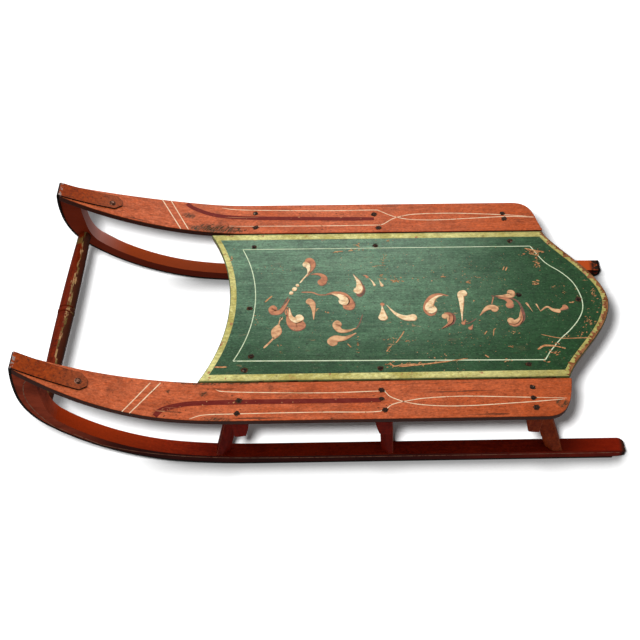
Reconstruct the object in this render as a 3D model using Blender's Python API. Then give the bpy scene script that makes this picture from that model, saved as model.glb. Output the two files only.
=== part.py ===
"""Child's wooden coasting sled with a painted seat board, two bent rails, deep-nosed runners
shod with iron, three cross benches on raked knees, and a turned rung between the noses.

Metres, +Z up. The nose points to -X and the heels to +X, with the origin on the ground under
the middle. Facing forward, the left side is -Y.
"""
import math

import bmesh
import bpy
from mathutils import Vector

# Driving dimensions of the whole sled
OVERALL_LENGTH = 0.837
DECK_HEIGHT = 0.139
FIT_GAP = 0.0003
EDGE_ROUND = 0.0012
KNEE_EDGE_ROUND = 0.0006
SOFTEN_ABOVE = math.radians(35.0)

# Seat board, a plank with a hollowed front edge and an ogee tail
SEAT_HALF_WIDTH = 0.131
SEAT_THICKNESS = 0.009
SEAT_FRONT_FROM_NOSE = 0.223
SEAT_FRONT_HOLLOW = 0.035
SEAT_CORNER_FROM_HEEL = 0.120
SEAT_TAIL_LENGTH = 0.0755
TAIL_CORNER_PULL = (0.012, 0.034)
TAIL_TIP_PULL = 0.050

# Rails, bent up at the front and drawn in to the width of the strap
SEAT_TO_RAIL = 0.0017
RAIL_WIDTH = 0.0585
RAIL_THICKNESS = 0.009
RAIL_BEND_FROM_NOSE = 0.277
RAIL_BEND_RADIUS = 0.477
RAIL_TAPER_FROM_NOSE = 0.206
RAIL_FLARE_FROM_NOSE = 0.266
RAIL_STRAIGHT_FROM_HEEL = 0.159
RAIL_REAR_LENGTH = 0.0405
RAIL_REAR_NIB = 0.003
LEFT_RAIL_REAR_PULL = (0.032, 0.036)
RIGHT_RAIL_REAR_PULL = (0.034, 0.031)

# Runners, flat on the ground and swept up into a deep nose in four arcs
RUNNER_INSET = 0.0137
RUNNER_WIDTH = 0.021
RUNNER_SPLAY = 0.071
RUNNER_HEIGHT = 0.0145
NOSE_DEPTH = 0.0275
RISE_RADIUS = 0.600
RISE_ANGLE = math.radians(10.0)
BEND_RADIUS = 0.280
BEND_ANGLE = math.radians(48.0)
NOSE_RADIUS = 0.105
NOSE_TOP_RADIUS = 0.250
NOSE_TOP_LEAN = math.radians(24.0)
NOSE_SWELL_START = math.radians(40.0)
NOSE_SWELL_END = math.radians(88.0)

# The sled was built by hand a little out of square: its right nose stands back from the left one
RIGHT_NOSE_BACK = 0.0065

# Heels: the left runner is shorter and its shoe stops short of the worn wood, while the right
# shoe still turns up over the end of its runner
LEFT_HEEL_SHORT = 0.026
LEFT_SHOE_SETBACK = 0.0155
LEFT_HEEL_LIFT = 0.004
LEFT_HEEL_ROUND = 0.009
RIGHT_HEEL_RADIUS = 0.0085

# Iron shoe, one strip from the heel round the nose and back over the rail as a strap
SHOE_THICKNESS = 0.003
STRAP_WIDTH = 0.0245
STRAP_THICKNESS = 0.0022
STRAP_LENGTH = 0.0935
RIGHT_STRAP_SHORT = 0.0043
LEFT_STRAP_CANT = 0.08
RIGHT_STRAP_CANT = 0.14
SHOE_WIDEN_HEIGHT = 0.078
STRAP_POINT_LENGTH = 0.009
STRAP_POINT_WIDTH = 0.009
STRAP_BEND_CLEAR = 0.002

# Rung turned between the noses
RUNG_FROM_NOSE = 0.0225
RUNG_Z = 0.1235
RUNG_END_RADIUS = 0.0090
RUNG_MIDDLE_RADIUS = 0.0113
RUNG_BEAD_CROWN = 0.0005
RUNG_BEAD_WIDTH = 0.006
RUNG_GROOVE_DEPTH = 0.0015
RUNG_GROOVE_WIDTH = 0.0030
RUNG_TENON_RADIUS = 0.0045
RUNG_TENON_LENGTH = 0.009

# Cross benches under the boards, with one sloped side and a crowned underside
BENCH_WIDTH = 0.0215
BENCH_HEIGHT = 0.0325
BENCH_SLOPE = 0.006
BENCH_CROWN = 0.0025
BENCH_SIDE_BELLY = 0.002
BENCH_INSET = 0.0005
FRONT_BENCH_FROM_NOSE = 0.2823
MIDDLE_BENCH_FROM_NOSE = 0.4672
REAR_BENCH_FROM_HEEL = 0.1733

# Knees: the face of the bench that each laps, its lap beyond that face, the shoulder under the
# bench, and its rake away from the middle of the sled
KNEE_THICKNESS = 0.018
KNEE_INSET = 0.0010
KNEE_FACE = {"front": -1, "middle": 1, "rear": 1}
KNEE_LAP = {"front": 0.0140, "middle": 0.0030, "rear": 0.0202}
KNEE_SHOULDER = {"front": 0.0045, "middle": 0.0140, "rear": 0.0030}
KNEE_RAKE = {"front": math.radians(14.0), "middle": math.radians(2.5), "rear": math.radians(18.7)}

# Long chamfer on each knee's outer edge under its bench, widening towards the foot
CHAMFER_AT_SHOULDER = 0.0055
CHAMFER_AT_FOOT = 0.0105
CHAMFER_DEPTH = 0.0080

# Facet counts of the curves
RISE_STEPS = 5
BEND_STEPS = 12
NOSE_STEPS = 12
HEEL_STEPS = 6
CROWN_STEPS = 8
RAIL_STEPS = 18
TAIL_STEPS = 14
HOLLOW_STEPS = 20
TURN_STEPS = 28
STRAP_BEND_STEPS = 5
RUNG_STEPS = 8
GROOVE_SHARES = (1.0, 0.66, 0.33)
BEAD_SHARES = (1.0, 0.85, 0.55, 0.0)
TIP_SEARCH_STEPS = 40

# Reach of the cutting shapes past what they cut
CUTTER_REACH = 0.30
RAIL_PAST_TIP = math.radians(3.0)
RAIL_CUT_ANGLE = math.radians(48.0)
TIP_SEARCH_END = math.radians(60.0)

# Paint and metal: colour, roughness, metallic
FINISHES = {
    "seat_paint": ((0.16, 0.20, 0.085), 0.55, 0.0),
    "rail_paint": ((0.60, 0.145, 0.05), 0.50, 0.0),
    "runner_paint": ((0.36, 0.035, 0.012), 0.45, 0.0),
    "knee_paint": ((0.30, 0.05, 0.02), 0.50, 0.0),
    "bench_paint": ((0.25, 0.03, 0.015), 0.50, 0.0),
    "rung_paint": ((0.33, 0.04, 0.015), 0.50, 0.0),
    "shoe_iron": ((0.035, 0.03, 0.028), 0.55, 0.85),
}

NOSE_X = -OVERALL_LENGTH / 2.0
HEEL_X = OVERALL_LENGTH / 2.0
SEAT_FRONT_X = NOSE_X + SEAT_FRONT_FROM_NOSE
SEAT_REAR_X = HEEL_X - SEAT_CORNER_FROM_HEEL
RAIL_BEND_X = NOSE_X + RAIL_BEND_FROM_NOSE
RAIL_TAPER_X = NOSE_X + RAIL_TAPER_FROM_NOSE
RAIL_FLARE_X = NOSE_X + RAIL_FLARE_FROM_NOSE
RAIL_REAR_STRAIGHT_X = HEEL_X - RAIL_STRAIGHT_FROM_HEEL
RUNG_X = NOSE_X + RUNG_FROM_NOSE
BENCH_X = {"front": NOSE_X + FRONT_BENCH_FROM_NOSE, "middle": NOSE_X + MIDDLE_BENCH_FROM_NOSE,
           "rear": HEEL_X - REAR_BENCH_FROM_HEEL}
RUNNER_LIFT = SHOE_THICKNESS + FIT_GAP
RUNNER_TOP = RUNNER_LIFT + RUNNER_HEIGHT
BENCH_TOP = DECK_HEIGHT - RAIL_THICKNESS - FIT_GAP
BENCH_BOTTOM = BENCH_TOP - BENCH_HEIGHT
RAIL_INNER = SEAT_HALF_WIDTH + SEAT_TO_RAIL
RAIL_OUTER = RAIL_INNER + RAIL_WIDTH
RUNNER_OUTER_AT_GROUND = RAIL_OUTER - RUNNER_INSET


def clear_scene():
    for old in list(bpy.data.objects):
        bpy.data.objects.remove(old, do_unlink=True)


def finish(name):
    """The paint or metal of a sub-part, as one Principled material."""
    colour, roughness, metallic = FINISHES[name]
    material = bpy.data.materials.get(name) or bpy.data.materials.new(name)
    material.use_nodes = True
    shader = material.node_tree.nodes["Principled BSDF"]
    shader.inputs["Base Color"].default_value = (*colour, 1.0)
    shader.inputs["Roughness"].default_value = roughness
    shader.inputs["Metallic"].default_value = metallic
    return material


def new_object(name, rings, finish_name):
    """A solid lofted through rings of corners, closed at both ends."""
    shape = bmesh.new()
    corners = [[shape.verts.new(point) for point in ring] for ring in rings]
    for ring, after in zip(corners, corners[1:]):
        for index in range(len(ring)):
            other = (index + 1) % len(ring)
            shape.faces.new((ring[index], ring[other], after[other], after[index]))
    shape.faces.new(list(reversed(corners[0])))
    shape.faces.new(corners[-1])
    bmesh.ops.recalc_face_normals(shape, faces=shape.faces)
    mesh = bpy.data.meshes.new(name)
    shape.to_mesh(mesh)
    shape.free()
    item = bpy.data.objects.new(name, mesh)
    bpy.context.scene.collection.objects.link(item)
    item.data.materials.append(finish(finish_name))
    return item


def upright_prism(name, outline, low, high, finish_name):
    """An outline in plan, raised from low to high."""
    rings = [[(x, y, z) for x, y in outline] for z in (low, high)]
    return new_object(name, rings, finish_name)


def crosswise_prism(name, outline, faces, finish_name):
    """An outline in side view, taken across the sled between two upright faces."""
    rings = [[(x, y, z) for x, z in outline] for y in faces]
    return new_object(name, rings, finish_name)


def soften(item, width=EDGE_ROUND, segments=2):
    """Round the worn edges."""
    bevel = item.modifiers.new("worn edges", "BEVEL")
    bevel.width = width
    bevel.segments = segments
    bevel.limit_method = "ANGLE"
    bevel.angle_limit = SOFTEN_ABOVE
    return item


def cut(item, cutter):
    """Take a cutter's space out of a piece."""
    cutter.hide_render = True
    cutter.display_type = "WIRE"
    boolean = item.modifiers.new("cut", "BOOLEAN")
    boolean.operation = "DIFFERENCE"
    boolean.solver = "EXACT"
    boolean.object = cutter
    return item


def bezier(start, pull_start, pull_end, end, steps):
    """Points of one cubic curve, both ends included."""
    points = []
    for index in range(steps + 1):
        t = index / steps
        s = 1.0 - t
        weights = (s ** 3, 3.0 * s * s * t, 3.0 * s * t * t, t ** 3)
        knots = (start, pull_start, pull_end, end)
        points.append(tuple(sum(w * knot[axis] for w, knot in zip(weights, knots)) for axis in (0, 1)))
    return points


def ease(value, low, high):
    """A smooth rise from 0 at low to 1 at high."""
    t = min(max((value - low) / (high - low), 0.0), 1.0)
    return t * t * (3.0 - 2.0 * t)


def runner_outer(z):
    """Distance of a runner's outer face from the middle plane, leaning in towards the top."""
    return RUNNER_OUTER_AT_GROUND - RUNNER_SPLAY * z


def runner_inner(z):
    return runner_outer(z) - RUNNER_WIDTH


def sweep(path, radius, end, steps):
    """Carry the sole path on round one arc, from its last slope to the end slope."""
    x, z, start = path[-1]
    centre = (x + radius * math.sin(start), z + radius * math.cos(start))
    for index in range(1, steps + 1):
        slope = start + (end - start) * index / steps
        path.append((centre[0] - radius * math.sin(slope), centre[1] - radius * math.cos(slope), slope))


def nose_back(side):
    """How far a side's nose stands back from the front of the sled."""
    return RIGHT_NOSE_BACK if side > 0 else 0.0


def nose_path(side):
    """The shoe's underside from where it leaves the ground to above the nose, as (x, z, slope)."""
    reach = NOSE_RADIUS * (1.0 - math.sin(BEND_ANGLE))
    reach += BEND_RADIUS * (math.sin(BEND_ANGLE) - math.sin(RISE_ANGLE))
    reach += RISE_RADIUS * math.sin(RISE_ANGLE)
    path = [(NOSE_X + nose_back(side) + reach, 0.0, 0.0)]
    sweep(path, RISE_RADIUS, RISE_ANGLE, RISE_STEPS)
    sweep(path, BEND_RADIUS, BEND_ANGLE, BEND_STEPS)
    sweep(path, NOSE_RADIUS, math.pi / 2.0, NOSE_STEPS)
    sweep(path, NOSE_TOP_RADIUS, math.pi / 2.0 + NOSE_TOP_LEAN, NOSE_STEPS)
    return path


def offset(point, distance):
    """A point of the sole path moved inwards, square to the path."""
    x, z, slope = point
    return (x + math.sin(slope) * distance, z + math.cos(slope) * distance)


def runner_depth(slope):
    """Depth of the runner's wood, swelling into the nose."""
    swell = ease(slope, NOSE_SWELL_START, NOSE_SWELL_END)
    return RUNNER_HEIGHT + (NOSE_DEPTH - RUNNER_HEIGHT) * swell


def rail_curve(angle, drop):
    """A point of the rail's bend at an angle from level, drop below its top face."""
    radius = RAIL_BEND_RADIUS + drop
    return (RAIL_BEND_X - radius * math.sin(angle),
            DECK_HEIGHT + RAIL_BEND_RADIUS - radius * math.cos(angle))


def rail_inner(x, side):
    """Inner edge of a rail in plan, flaring out to the inner edge of the strap at the tip."""
    tip_x, tip_z = rail_curve(rail_tip(side), 0.0)
    flare = runner_outer(tip_z) - STRAP_WIDTH - RAIL_INNER
    share = max((RAIL_FLARE_X - x) / (RAIL_FLARE_X - tip_x), 0.0)
    return RAIL_INNER + flare * share


def rail_outer(x, side):
    """Outer edge of a rail in plan, drawn in round an arc to the runner's outer face at the tip."""
    tip_x, tip_z = rail_curve(rail_tip(side), 0.0)
    drop = RAIL_OUTER - runner_outer(tip_z)
    run = RAIL_TAPER_X - tip_x
    radius = (drop ** 2 + run ** 2) / (2.0 * drop)
    here = max(RAIL_TAPER_X - x, 0.0)
    return RAIL_OUTER - (radius - math.sqrt(radius ** 2 - here ** 2))


def rail_tip(side):
    """Angle on the rail's top face where it meets the back of the shoe."""
    low, high = 0.0, TIP_SEARCH_END
    for _ in range(TIP_SEARCH_STEPS):
        middle = (low + high) / 2.0
        x, z = rail_curve(middle, 0.0)
        if x > shoe_back_at(z, side):
            low = middle
        else:
            high = middle
    return low


def shoe_back_at(z, side):
    """Where the back of the shoe stands at a height, with the gap for what it covers."""
    path = [offset(point, RUNNER_LIFT) for point in nose_path(side)]
    for (x0, z0), (x1, z1) in zip(path, path[1:]):
        if z0 <= z <= z1:
            return x0 + (x1 - x0) * (z - z0) / (z1 - z0)
    return path[-1][0]


def build_seat():
    hollow_radius = (SEAT_HALF_WIDTH ** 2 + SEAT_FRONT_HOLLOW ** 2) / (2.0 * SEAT_FRONT_HOLLOW)
    centre_x = SEAT_FRONT_X + SEAT_FRONT_HOLLOW - hollow_radius
    spread = math.asin(SEAT_HALF_WIDTH / hollow_radius)
    outline = []
    for index in range(HOLLOW_STEPS + 1):
        angle = spread * (1.0 - 2.0 * index / HOLLOW_STEPS)
        x = centre_x + hollow_radius * math.cos(angle)
        outline.append((x, hollow_radius * math.sin(angle)))
    tail_x = SEAT_REAR_X + SEAT_TAIL_LENGTH
    corner = (SEAT_REAR_X, -SEAT_HALF_WIDTH)
    corner_pull = (SEAT_REAR_X + TAIL_CORNER_PULL[0], -SEAT_HALF_WIDTH + TAIL_CORNER_PULL[1])
    half_tail = bezier(corner, corner_pull, (tail_x, -TAIL_TIP_PULL), (tail_x, 0.0), TAIL_STEPS)
    outline += half_tail
    outline += [(x, -y) for x, y in reversed(half_tail[:-1])]
    seat = upright_prism("seat_board", outline, DECK_HEIGHT - SEAT_THICKNESS, DECK_HEIGHT, "seat_paint")
    return soften(seat)


def rail_rings(side):
    """Cross-sections of a rail from its rear nib to just past the nose."""
    rear_x = RAIL_REAR_STRAIGHT_X + RAIL_REAR_LENGTH
    pull = RIGHT_RAIL_REAR_PULL if side > 0 else LEFT_RAIL_REAR_PULL
    end_curve = bezier((RAIL_REAR_STRAIGHT_X, RAIL_OUTER),
                       (RAIL_REAR_STRAIGHT_X + pull[0], RAIL_OUTER),
                       (RAIL_REAR_STRAIGHT_X + pull[1], RAIL_INNER + RAIL_WIDTH / 2.0),
                       (rear_x, RAIL_INNER + RAIL_REAR_NIB), TAIL_STEPS)
    rings = []
    for x, outer in reversed(end_curve):
        rings.append(rail_ring(side, (x, DECK_HEIGHT), (x, DECK_HEIGHT - RAIL_THICKNESS), outer))
    last = rail_tip(side) + RAIL_PAST_TIP
    for index in range(RAIL_STEPS + 1):
        angle = last * index / RAIL_STEPS
        top = rail_curve(angle, 0.0)
        rings.append(rail_ring(side, top, rail_curve(angle, RAIL_THICKNESS), rail_outer(top[0], side)))
    return rings


def rail_ring(side, top, bottom, outer):
    inner = rail_inner(top[0], side)
    return [(top[0], side * inner, top[1]), (top[0], side * outer, top[1]),
            (bottom[0], side * outer, bottom[1]), (bottom[0], side * inner, bottom[1])]


def nose_cutter(side):
    """Everything in front of the back of a side's shoe."""
    back = [offset(point, RUNNER_LIFT) for point in nose_path(side)[RISE_STEPS + BEND_STEPS:]]
    front = NOSE_X - CUTTER_REACH
    outline = back + [(front, back[-1][1]), (front, back[0][1])]
    return crosswise_prism("nose_cutter", outline, (0.0, side * CUTTER_REACH), "shoe_iron")


def above_rail_cutter():
    """Everything above the underside of the rails' bend."""
    under = []
    for index in range(RAIL_STEPS + 1):
        under.append(rail_curve(RAIL_CUT_ANGLE * index / RAIL_STEPS, RAIL_THICKNESS + FIT_GAP))
    top = under[-1][1] + CUTTER_REACH
    outline = under + [(under[-1][0], top), (under[0][0], top)]
    return crosswise_prism("above_rail_cutter", outline, (-CUTTER_REACH, CUTTER_REACH), "rail_paint")


def build_rail(name, side):
    rail = new_object(name, rail_rings(side), "rail_paint")
    cut(rail, nose_cutter(side))
    return soften(rail)


def runner_rings(side):
    """Cross-sections of a runner from its heel to above the rail."""
    rings = left_heel_rings() if side < 0 else right_heel_rings()
    for point in nose_path(side):
        bottom = offset(point, RUNNER_LIFT)
        top = offset(point, RUNNER_LIFT + runner_depth(point[2]))
        rings.append(runner_ring(side, bottom, top, 0.0))
    return rings


def left_heel_rings():
    """The worn heel: rounded in plan and lifting off the ground behind the shoe."""
    rings = []
    heel_x = HEEL_X - LEFT_HEEL_SHORT
    flat_x = heel_x - LEFT_SHOE_SETBACK
    for index in range(HEEL_STEPS + 1):
        quarter = math.pi / 2.0 * index / HEEL_STEPS
        x = heel_x - LEFT_HEEL_ROUND * (1.0 - math.cos(quarter))
        tuck = LEFT_HEEL_ROUND * (1.0 - math.sin(quarter))
        rise = LEFT_HEEL_LIFT * ((x - flat_x) / LEFT_SHOE_SETBACK) ** 2
        rings.append(runner_ring(-1, (x, RUNNER_LIFT + rise), (x, RUNNER_TOP), tuck))
    rings.append(runner_ring(-1, (flat_x, RUNNER_LIFT), (flat_x, RUNNER_TOP), 0.0))
    return rings


def right_heel_rings():
    """The sound heel, its lower corner rounded for the shoe that turns up over it."""
    rings = []
    radius = RIGHT_HEEL_RADIUS - RUNNER_LIFT
    end_x = HEEL_X - RUNNER_LIFT
    for index in range(HEEL_STEPS + 1):
        quarter = math.pi / 2.0 * index / HEEL_STEPS
        x = end_x - radius * (1.0 - math.cos(quarter))
        rise = radius * (1.0 - math.sin(quarter))
        rings.append(runner_ring(1, (x, RUNNER_LIFT + rise), (x, RUNNER_TOP), 0.0))
    return rings


def runner_ring(side, bottom, top, tuck):
    """One section of a runner, its inner face drawn in by tuck."""
    return [(bottom[0], side * (runner_inner(bottom[1]) + tuck), bottom[1]),
            (bottom[0], side * runner_outer(bottom[1]), bottom[1]),
            (top[0], side * runner_outer(top[1]), top[1]),
            (top[0], side * (runner_inner(top[1]) + tuck), top[1])]


def rung_socket(side):
    """The blind bore in a nose that takes the rung's tenon."""
    face = runner_inner(RUNG_Z)
    radius = RUNG_TENON_RADIUS + FIT_GAP
    depths = (face - RUNNER_WIDTH / 2.0, face + RUNG_TENON_LENGTH + FIT_GAP)
    rings = [turned_ring(rung_x(side * y), RUNG_Z, side * y, radius) for y in depths]
    return new_object("rung_socket", rings, "rung_paint")


def build_runner(name, side, above_rail):
    runner = new_object(name, runner_rings(side), "runner_paint")
    cut(runner, above_rail)
    cut(runner, rung_socket(side))
    return soften(runner)


def shoe_rings(side):
    """Cross-sections of the iron strip, round the nose and back along the rail as the strap."""
    tip_angle = rail_tip(side)
    bend_z = rail_curve(tip_angle, 0.0)[1] - STRAP_BEND_CLEAR
    rings = []
    for point in heel_path(side) + nose_path(side):
        inside = offset(point, SHOE_THICKNESS)
        if inside[1] > bend_z:
            break
        rings.append(shoe_ring(side, (point[0], point[1]), inside))
    rings += strap_bend(side, tip_angle)
    length = STRAP_LENGTH - (RIGHT_STRAP_SHORT if side > 0 else 0.0)
    bend_share = length / RAIL_BEND_RADIUS
    point_share = STRAP_POINT_LENGTH / RAIL_BEND_RADIUS
    for index in range(1, RAIL_STEPS + 1):
        angle = tip_angle - (bend_share - point_share) * index / RAIL_STEPS
        rings.append(strap_ring(side, angle, STRAP_WIDTH))
    rings.append(strap_ring(side, tip_angle - bend_share, STRAP_POINT_WIDTH))
    return rings


def heel_path(side):
    """The shoe's end under a heel: cut short on the left, turned up over the end on the right."""
    if side < 0:
        return [(HEEL_X - LEFT_HEEL_SHORT - LEFT_SHOE_SETBACK, 0.0, 0.0)]
    path = [(HEEL_X, RUNNER_TOP, -math.pi / 2.0)]
    for index in range(HEEL_STEPS + 1):
        slope = -math.pi / 2.0 * (1.0 - index / HEEL_STEPS)
        path.append((HEEL_X - RIGHT_HEEL_RADIUS * (1.0 + math.sin(slope)),
                     RIGHT_HEEL_RADIUS * (1.0 - math.cos(slope)), slope))
    return path


def shoe_ring(side, outside, inside):
    """One section of the strip under the runner, as wide as the runner and as wide as the strap
    at the top of the nose."""
    spare = STRAP_WIDTH - RUNNER_WIDTH
    ring = []
    for (x, z), edge in ((outside, 0), (outside, 1), (inside, 1), (inside, 0)):
        widen = spare * ease(z, DECK_HEIGHT + RAIL_THICKNESS, DECK_HEIGHT + SHOE_WIDEN_HEIGHT)
        y = runner_outer(z) if edge else runner_inner(z) - widen
        ring.append((x, side * y, z))
    return ring


def strap_bend(side, tip_angle):
    """The tight bend over the rail's tip, from the lean of the nose to the slope of the rail."""
    tip_x, tip_z = rail_curve(tip_angle, 0.0)
    lean = math.asin((tip_z - nose_plumb_z()) / (NOSE_TOP_RADIUS - SHOE_THICKNESS))
    start = math.pi - lean
    end = math.pi / 2.0 - tip_angle
    rings = []
    for index in range(STRAP_BEND_STEPS + 1):
        share = index / STRAP_BEND_STEPS
        facing = start + (end - start) * share
        reach = FIT_GAP + SHOE_THICKNESS + (STRAP_THICKNESS - SHOE_THICKNESS) * share
        outside = (tip_x + reach * math.cos(facing), tip_z + reach * math.sin(facing))
        inside = (tip_x + FIT_GAP * math.cos(facing), tip_z + FIT_GAP * math.sin(facing))
        rings.append(strap_section(side, outside, inside, runner_outer(tip_z), STRAP_WIDTH))
    return rings


def nose_plumb_z():
    """Height at which the front of the nose stands plumb."""
    rise = RISE_RADIUS * (1.0 - math.cos(RISE_ANGLE))
    bend = BEND_RADIUS * (math.cos(RISE_ANGLE) - math.cos(BEND_ANGLE))
    return rise + bend + NOSE_RADIUS * math.cos(BEND_ANGLE)


def strap_section(side, outside, inside, outer_y, width):
    return [(outside[0], side * (outer_y - width), outside[1]), (outside[0], side * outer_y, outside[1]),
            (inside[0], side * outer_y, inside[1]), (inside[0], side * (outer_y - width), inside[1])]


def strap_ring(side, angle, width):
    """One section of the strap on the rail, canted out to follow the rail's middle."""
    outside = rail_curve(angle, -STRAP_THICKNESS - FIT_GAP)
    inside = rail_curve(angle, -FIT_GAP)
    tip_x, tip_z = rail_curve(rail_tip(side), 0.0)
    cant = RIGHT_STRAP_CANT if side > 0 else LEFT_STRAP_CANT
    centre = runner_outer(tip_z) - STRAP_WIDTH / 2.0 + cant * (inside[0] - tip_x)
    return strap_section(side, outside, inside, centre + width / 2.0, width)


def build_shoe(name, side):
    return new_object(name, shoe_rings(side), "shoe_iron")


def turned_ring(x, z, y, radius):
    """One ring of a piece turned about an axis across the sled."""
    ring = []
    for index in range(TURN_STEPS):
        angle = 2.0 * math.pi * index / TURN_STEPS
        ring.append((x + radius * math.cos(angle), y, z + radius * math.sin(angle)))
    return ring


def rung_x(y):
    """Place of the rung's axis, running from the left nose to the right one further back."""
    share = 0.5 + y / (2.0 * runner_inner(RUNG_Z))
    return RUNG_X + RIGHT_NOSE_BACK * share


def rung_radius(y, half_length):
    """Radius of the rung: a barrel with a small bead between two grooves at its middle."""
    barrel = RUNG_MIDDLE_RADIUS - (RUNG_MIDDLE_RADIUS - RUNG_END_RADIUS) * (y / half_length) ** 2
    edge = RUNG_BEAD_WIDTH / 2.0
    if abs(y) <= edge:
        return barrel + RUNG_BEAD_CROWN * math.sqrt(max(1.0 - (y / edge) ** 2, 0.0))
    if abs(y) <= edge + RUNG_GROOVE_WIDTH:
        return barrel - RUNG_GROOVE_DEPTH * math.sin(math.pi * (abs(y) - edge) / RUNG_GROOVE_WIDTH)
    return barrel


def build_rung():
    shoulder = runner_inner(RUNG_Z) - RUNNER_SPLAY * RUNG_END_RADIUS - FIT_GAP
    edge = RUNG_BEAD_WIDTH / 2.0
    groove_end = edge + RUNG_GROOVE_WIDTH
    stations = [groove_end + (shoulder - groove_end) * index / RUNG_STEPS
                for index in range(RUNG_STEPS, 0, -1)]
    stations += [edge + RUNG_GROOVE_WIDTH * share for share in GROOVE_SHARES]
    stations += [edge * share for share in BEAD_SHARES]
    profile = [(y, rung_radius(y, shoulder)) for y in stations]
    tenon_end = runner_inner(RUNG_Z) + RUNG_TENON_LENGTH
    half = [(tenon_end, RUNG_TENON_RADIUS), (shoulder, RUNG_TENON_RADIUS)] + profile
    whole = half + [(-y, radius) for y, radius in reversed(half[:-1])]
    rings = [turned_ring(rung_x(y), RUNG_Z, y, radius) for y, radius in whole]
    return new_object("front_rung", rings, "rung_paint")


def build_bench(place):
    """A cross bench: plumb against its knees, sloped on its free side, crowned underneath."""
    x = BENCH_X[place]
    knee_side = KNEE_FACE[place]
    half = BENCH_WIDTH / 2.0
    plumb_x = x + knee_side * half
    free_x = x - knee_side * half
    foot_x = free_x + knee_side * BENCH_SLOPE
    shoulder_z = BENCH_BOTTOM + BENCH_CROWN
    outline = [(plumb_x, BENCH_TOP), (plumb_x, BENCH_BOTTOM)]
    for index in range(1, CROWN_STEPS + 1):
        share = index / CROWN_STEPS
        outline.append((plumb_x + (foot_x - plumb_x) * share, BENCH_BOTTOM + BENCH_CROWN * share ** 3))
    outline += [(free_x + knee_side * BENCH_SIDE_BELLY, shoulder_z + BENCH_HEIGHT / 2.0), (free_x, BENCH_TOP)]
    reach = RAIL_OUTER - BENCH_INSET
    bench = crosswise_prism(place + "_bench", outline, (-reach, reach), "bench_paint")
    return soften(bench)


def runner_top_at(x, side):
    """Height of a runner's top face at a place along the sled."""
    path = [offset(point, RUNNER_LIFT + runner_depth(point[2])) for point in nose_path(side)]
    for (x0, z0), (x1, z1) in zip(path, path[1:]):
        if x1 <= x <= x0:
            return z0 + (z1 - z0) * (x - x0) / (x1 - x0)
    return RUNNER_TOP


def knee_foot(x, lean, shoulder_z, side):
    """Where an edge of a knee that leaves the shoulder at x lands on the runner."""
    level_x = x + lean * (shoulder_z - RUNNER_TOP)
    foot_z = runner_top_at(level_x, side) + FIT_GAP
    return (x + lean * (shoulder_z - foot_z), foot_z)


def knee_face_point(side, place, depth):
    """A point at a depth behind a knee's outer face, from its place in side view."""
    x, z = place
    return Vector((x, side * (runner_outer(z) - KNEE_INSET - depth), z))


def pare(item, corner, knots):
    """Take a corner off a piece along the plane through three knots, and close the cut."""
    first, second, third = knots
    normal = (second - first).cross(third - first)
    if normal.dot(corner - first) < 0.0:
        normal.negate()
    shape = bmesh.new()
    shape.from_mesh(item.data)
    everything = shape.verts[:] + shape.edges[:] + shape.faces[:]
    bmesh.ops.bisect_plane(shape, geom=everything, plane_co=first, plane_no=normal, clear_outer=True)
    bmesh.ops.holes_fill(shape, edges=[edge for edge in shape.edges if edge.is_boundary])
    bmesh.ops.recalc_face_normals(shape, faces=shape.faces)
    shape.to_mesh(item.data)
    shape.free()


def build_knee(place, side_name, side):
    """A raked knee: its foot on the runner, its shoulder under the bench, its lap on the face."""
    face = KNEE_FACE[place]
    bench_face = BENCH_X[place] + face * (BENCH_WIDTH / 2.0 + FIT_GAP)
    shoulder_z = BENCH_BOTTOM - FIT_GAP
    top_z = BENCH_TOP
    lean = math.tan(KNEE_RAKE[place]) * face
    front = bench_face + face * KNEE_LAP[place]
    back = bench_face - face * KNEE_SHOULDER[place]
    rise = top_z - shoulder_z
    back_foot = knee_foot(back, lean, shoulder_z, side)
    outline = [knee_foot(front, lean, shoulder_z, side), (front, shoulder_z), (front - lean * rise, top_z),
               (bench_face, top_z), (bench_face, shoulder_z), (back, shoulder_z), back_foot]
    rings = []
    for inset in (KNEE_INSET + KNEE_THICKNESS, KNEE_INSET):
        rings.append([(x, side * (runner_outer(z) - inset), z) for x, z in outline])
    knee = new_object(f"{side_name}_{place}_knee", rings, "knee_paint")
    corner = knee_face_point(side, back_foot, 0.0)
    pare(knee, corner, (knee_face_point(side, (back + face * CHAMFER_AT_SHOULDER, shoulder_z), 0.0),
                        knee_face_point(side, (back_foot[0] + face * CHAMFER_AT_FOOT, back_foot[1]), 0.0),
                        knee_face_point(side, back_foot, CHAMFER_DEPTH)))
    return soften(knee, KNEE_EDGE_ROUND, 1)


def main():
    clear_scene()
    above = above_rail_cutter()
    build_seat()
    build_rung()
    for place in BENCH_X:
        build_bench(place)
    for side_name, side in (("left", -1), ("right", 1)):
        build_rail(side_name + "_rail", side)
        build_runner(side_name + "_runner", side, above)
        build_shoe(side_name + "_shoe", side)
        for place in BENCH_X:
            build_knee(place, side_name, side)


main()
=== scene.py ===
"""Dresses the coasting sled: worn oil paint, pinstripes, brush flourishes, nails and rivets.

It is laid out as an add-on and run as a script. Metres, +Z up, the nose towards -X, and the left
side, which is nearer to the camera, at -Y.
"""
import math
import random

import bmesh
import bpy
from bpy.props import FloatProperty, FloatVectorProperty, IntProperty, PointerProperty
from mathutils import Matrix, Vector
from mathutils.bvhtree import BVHTree


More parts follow.
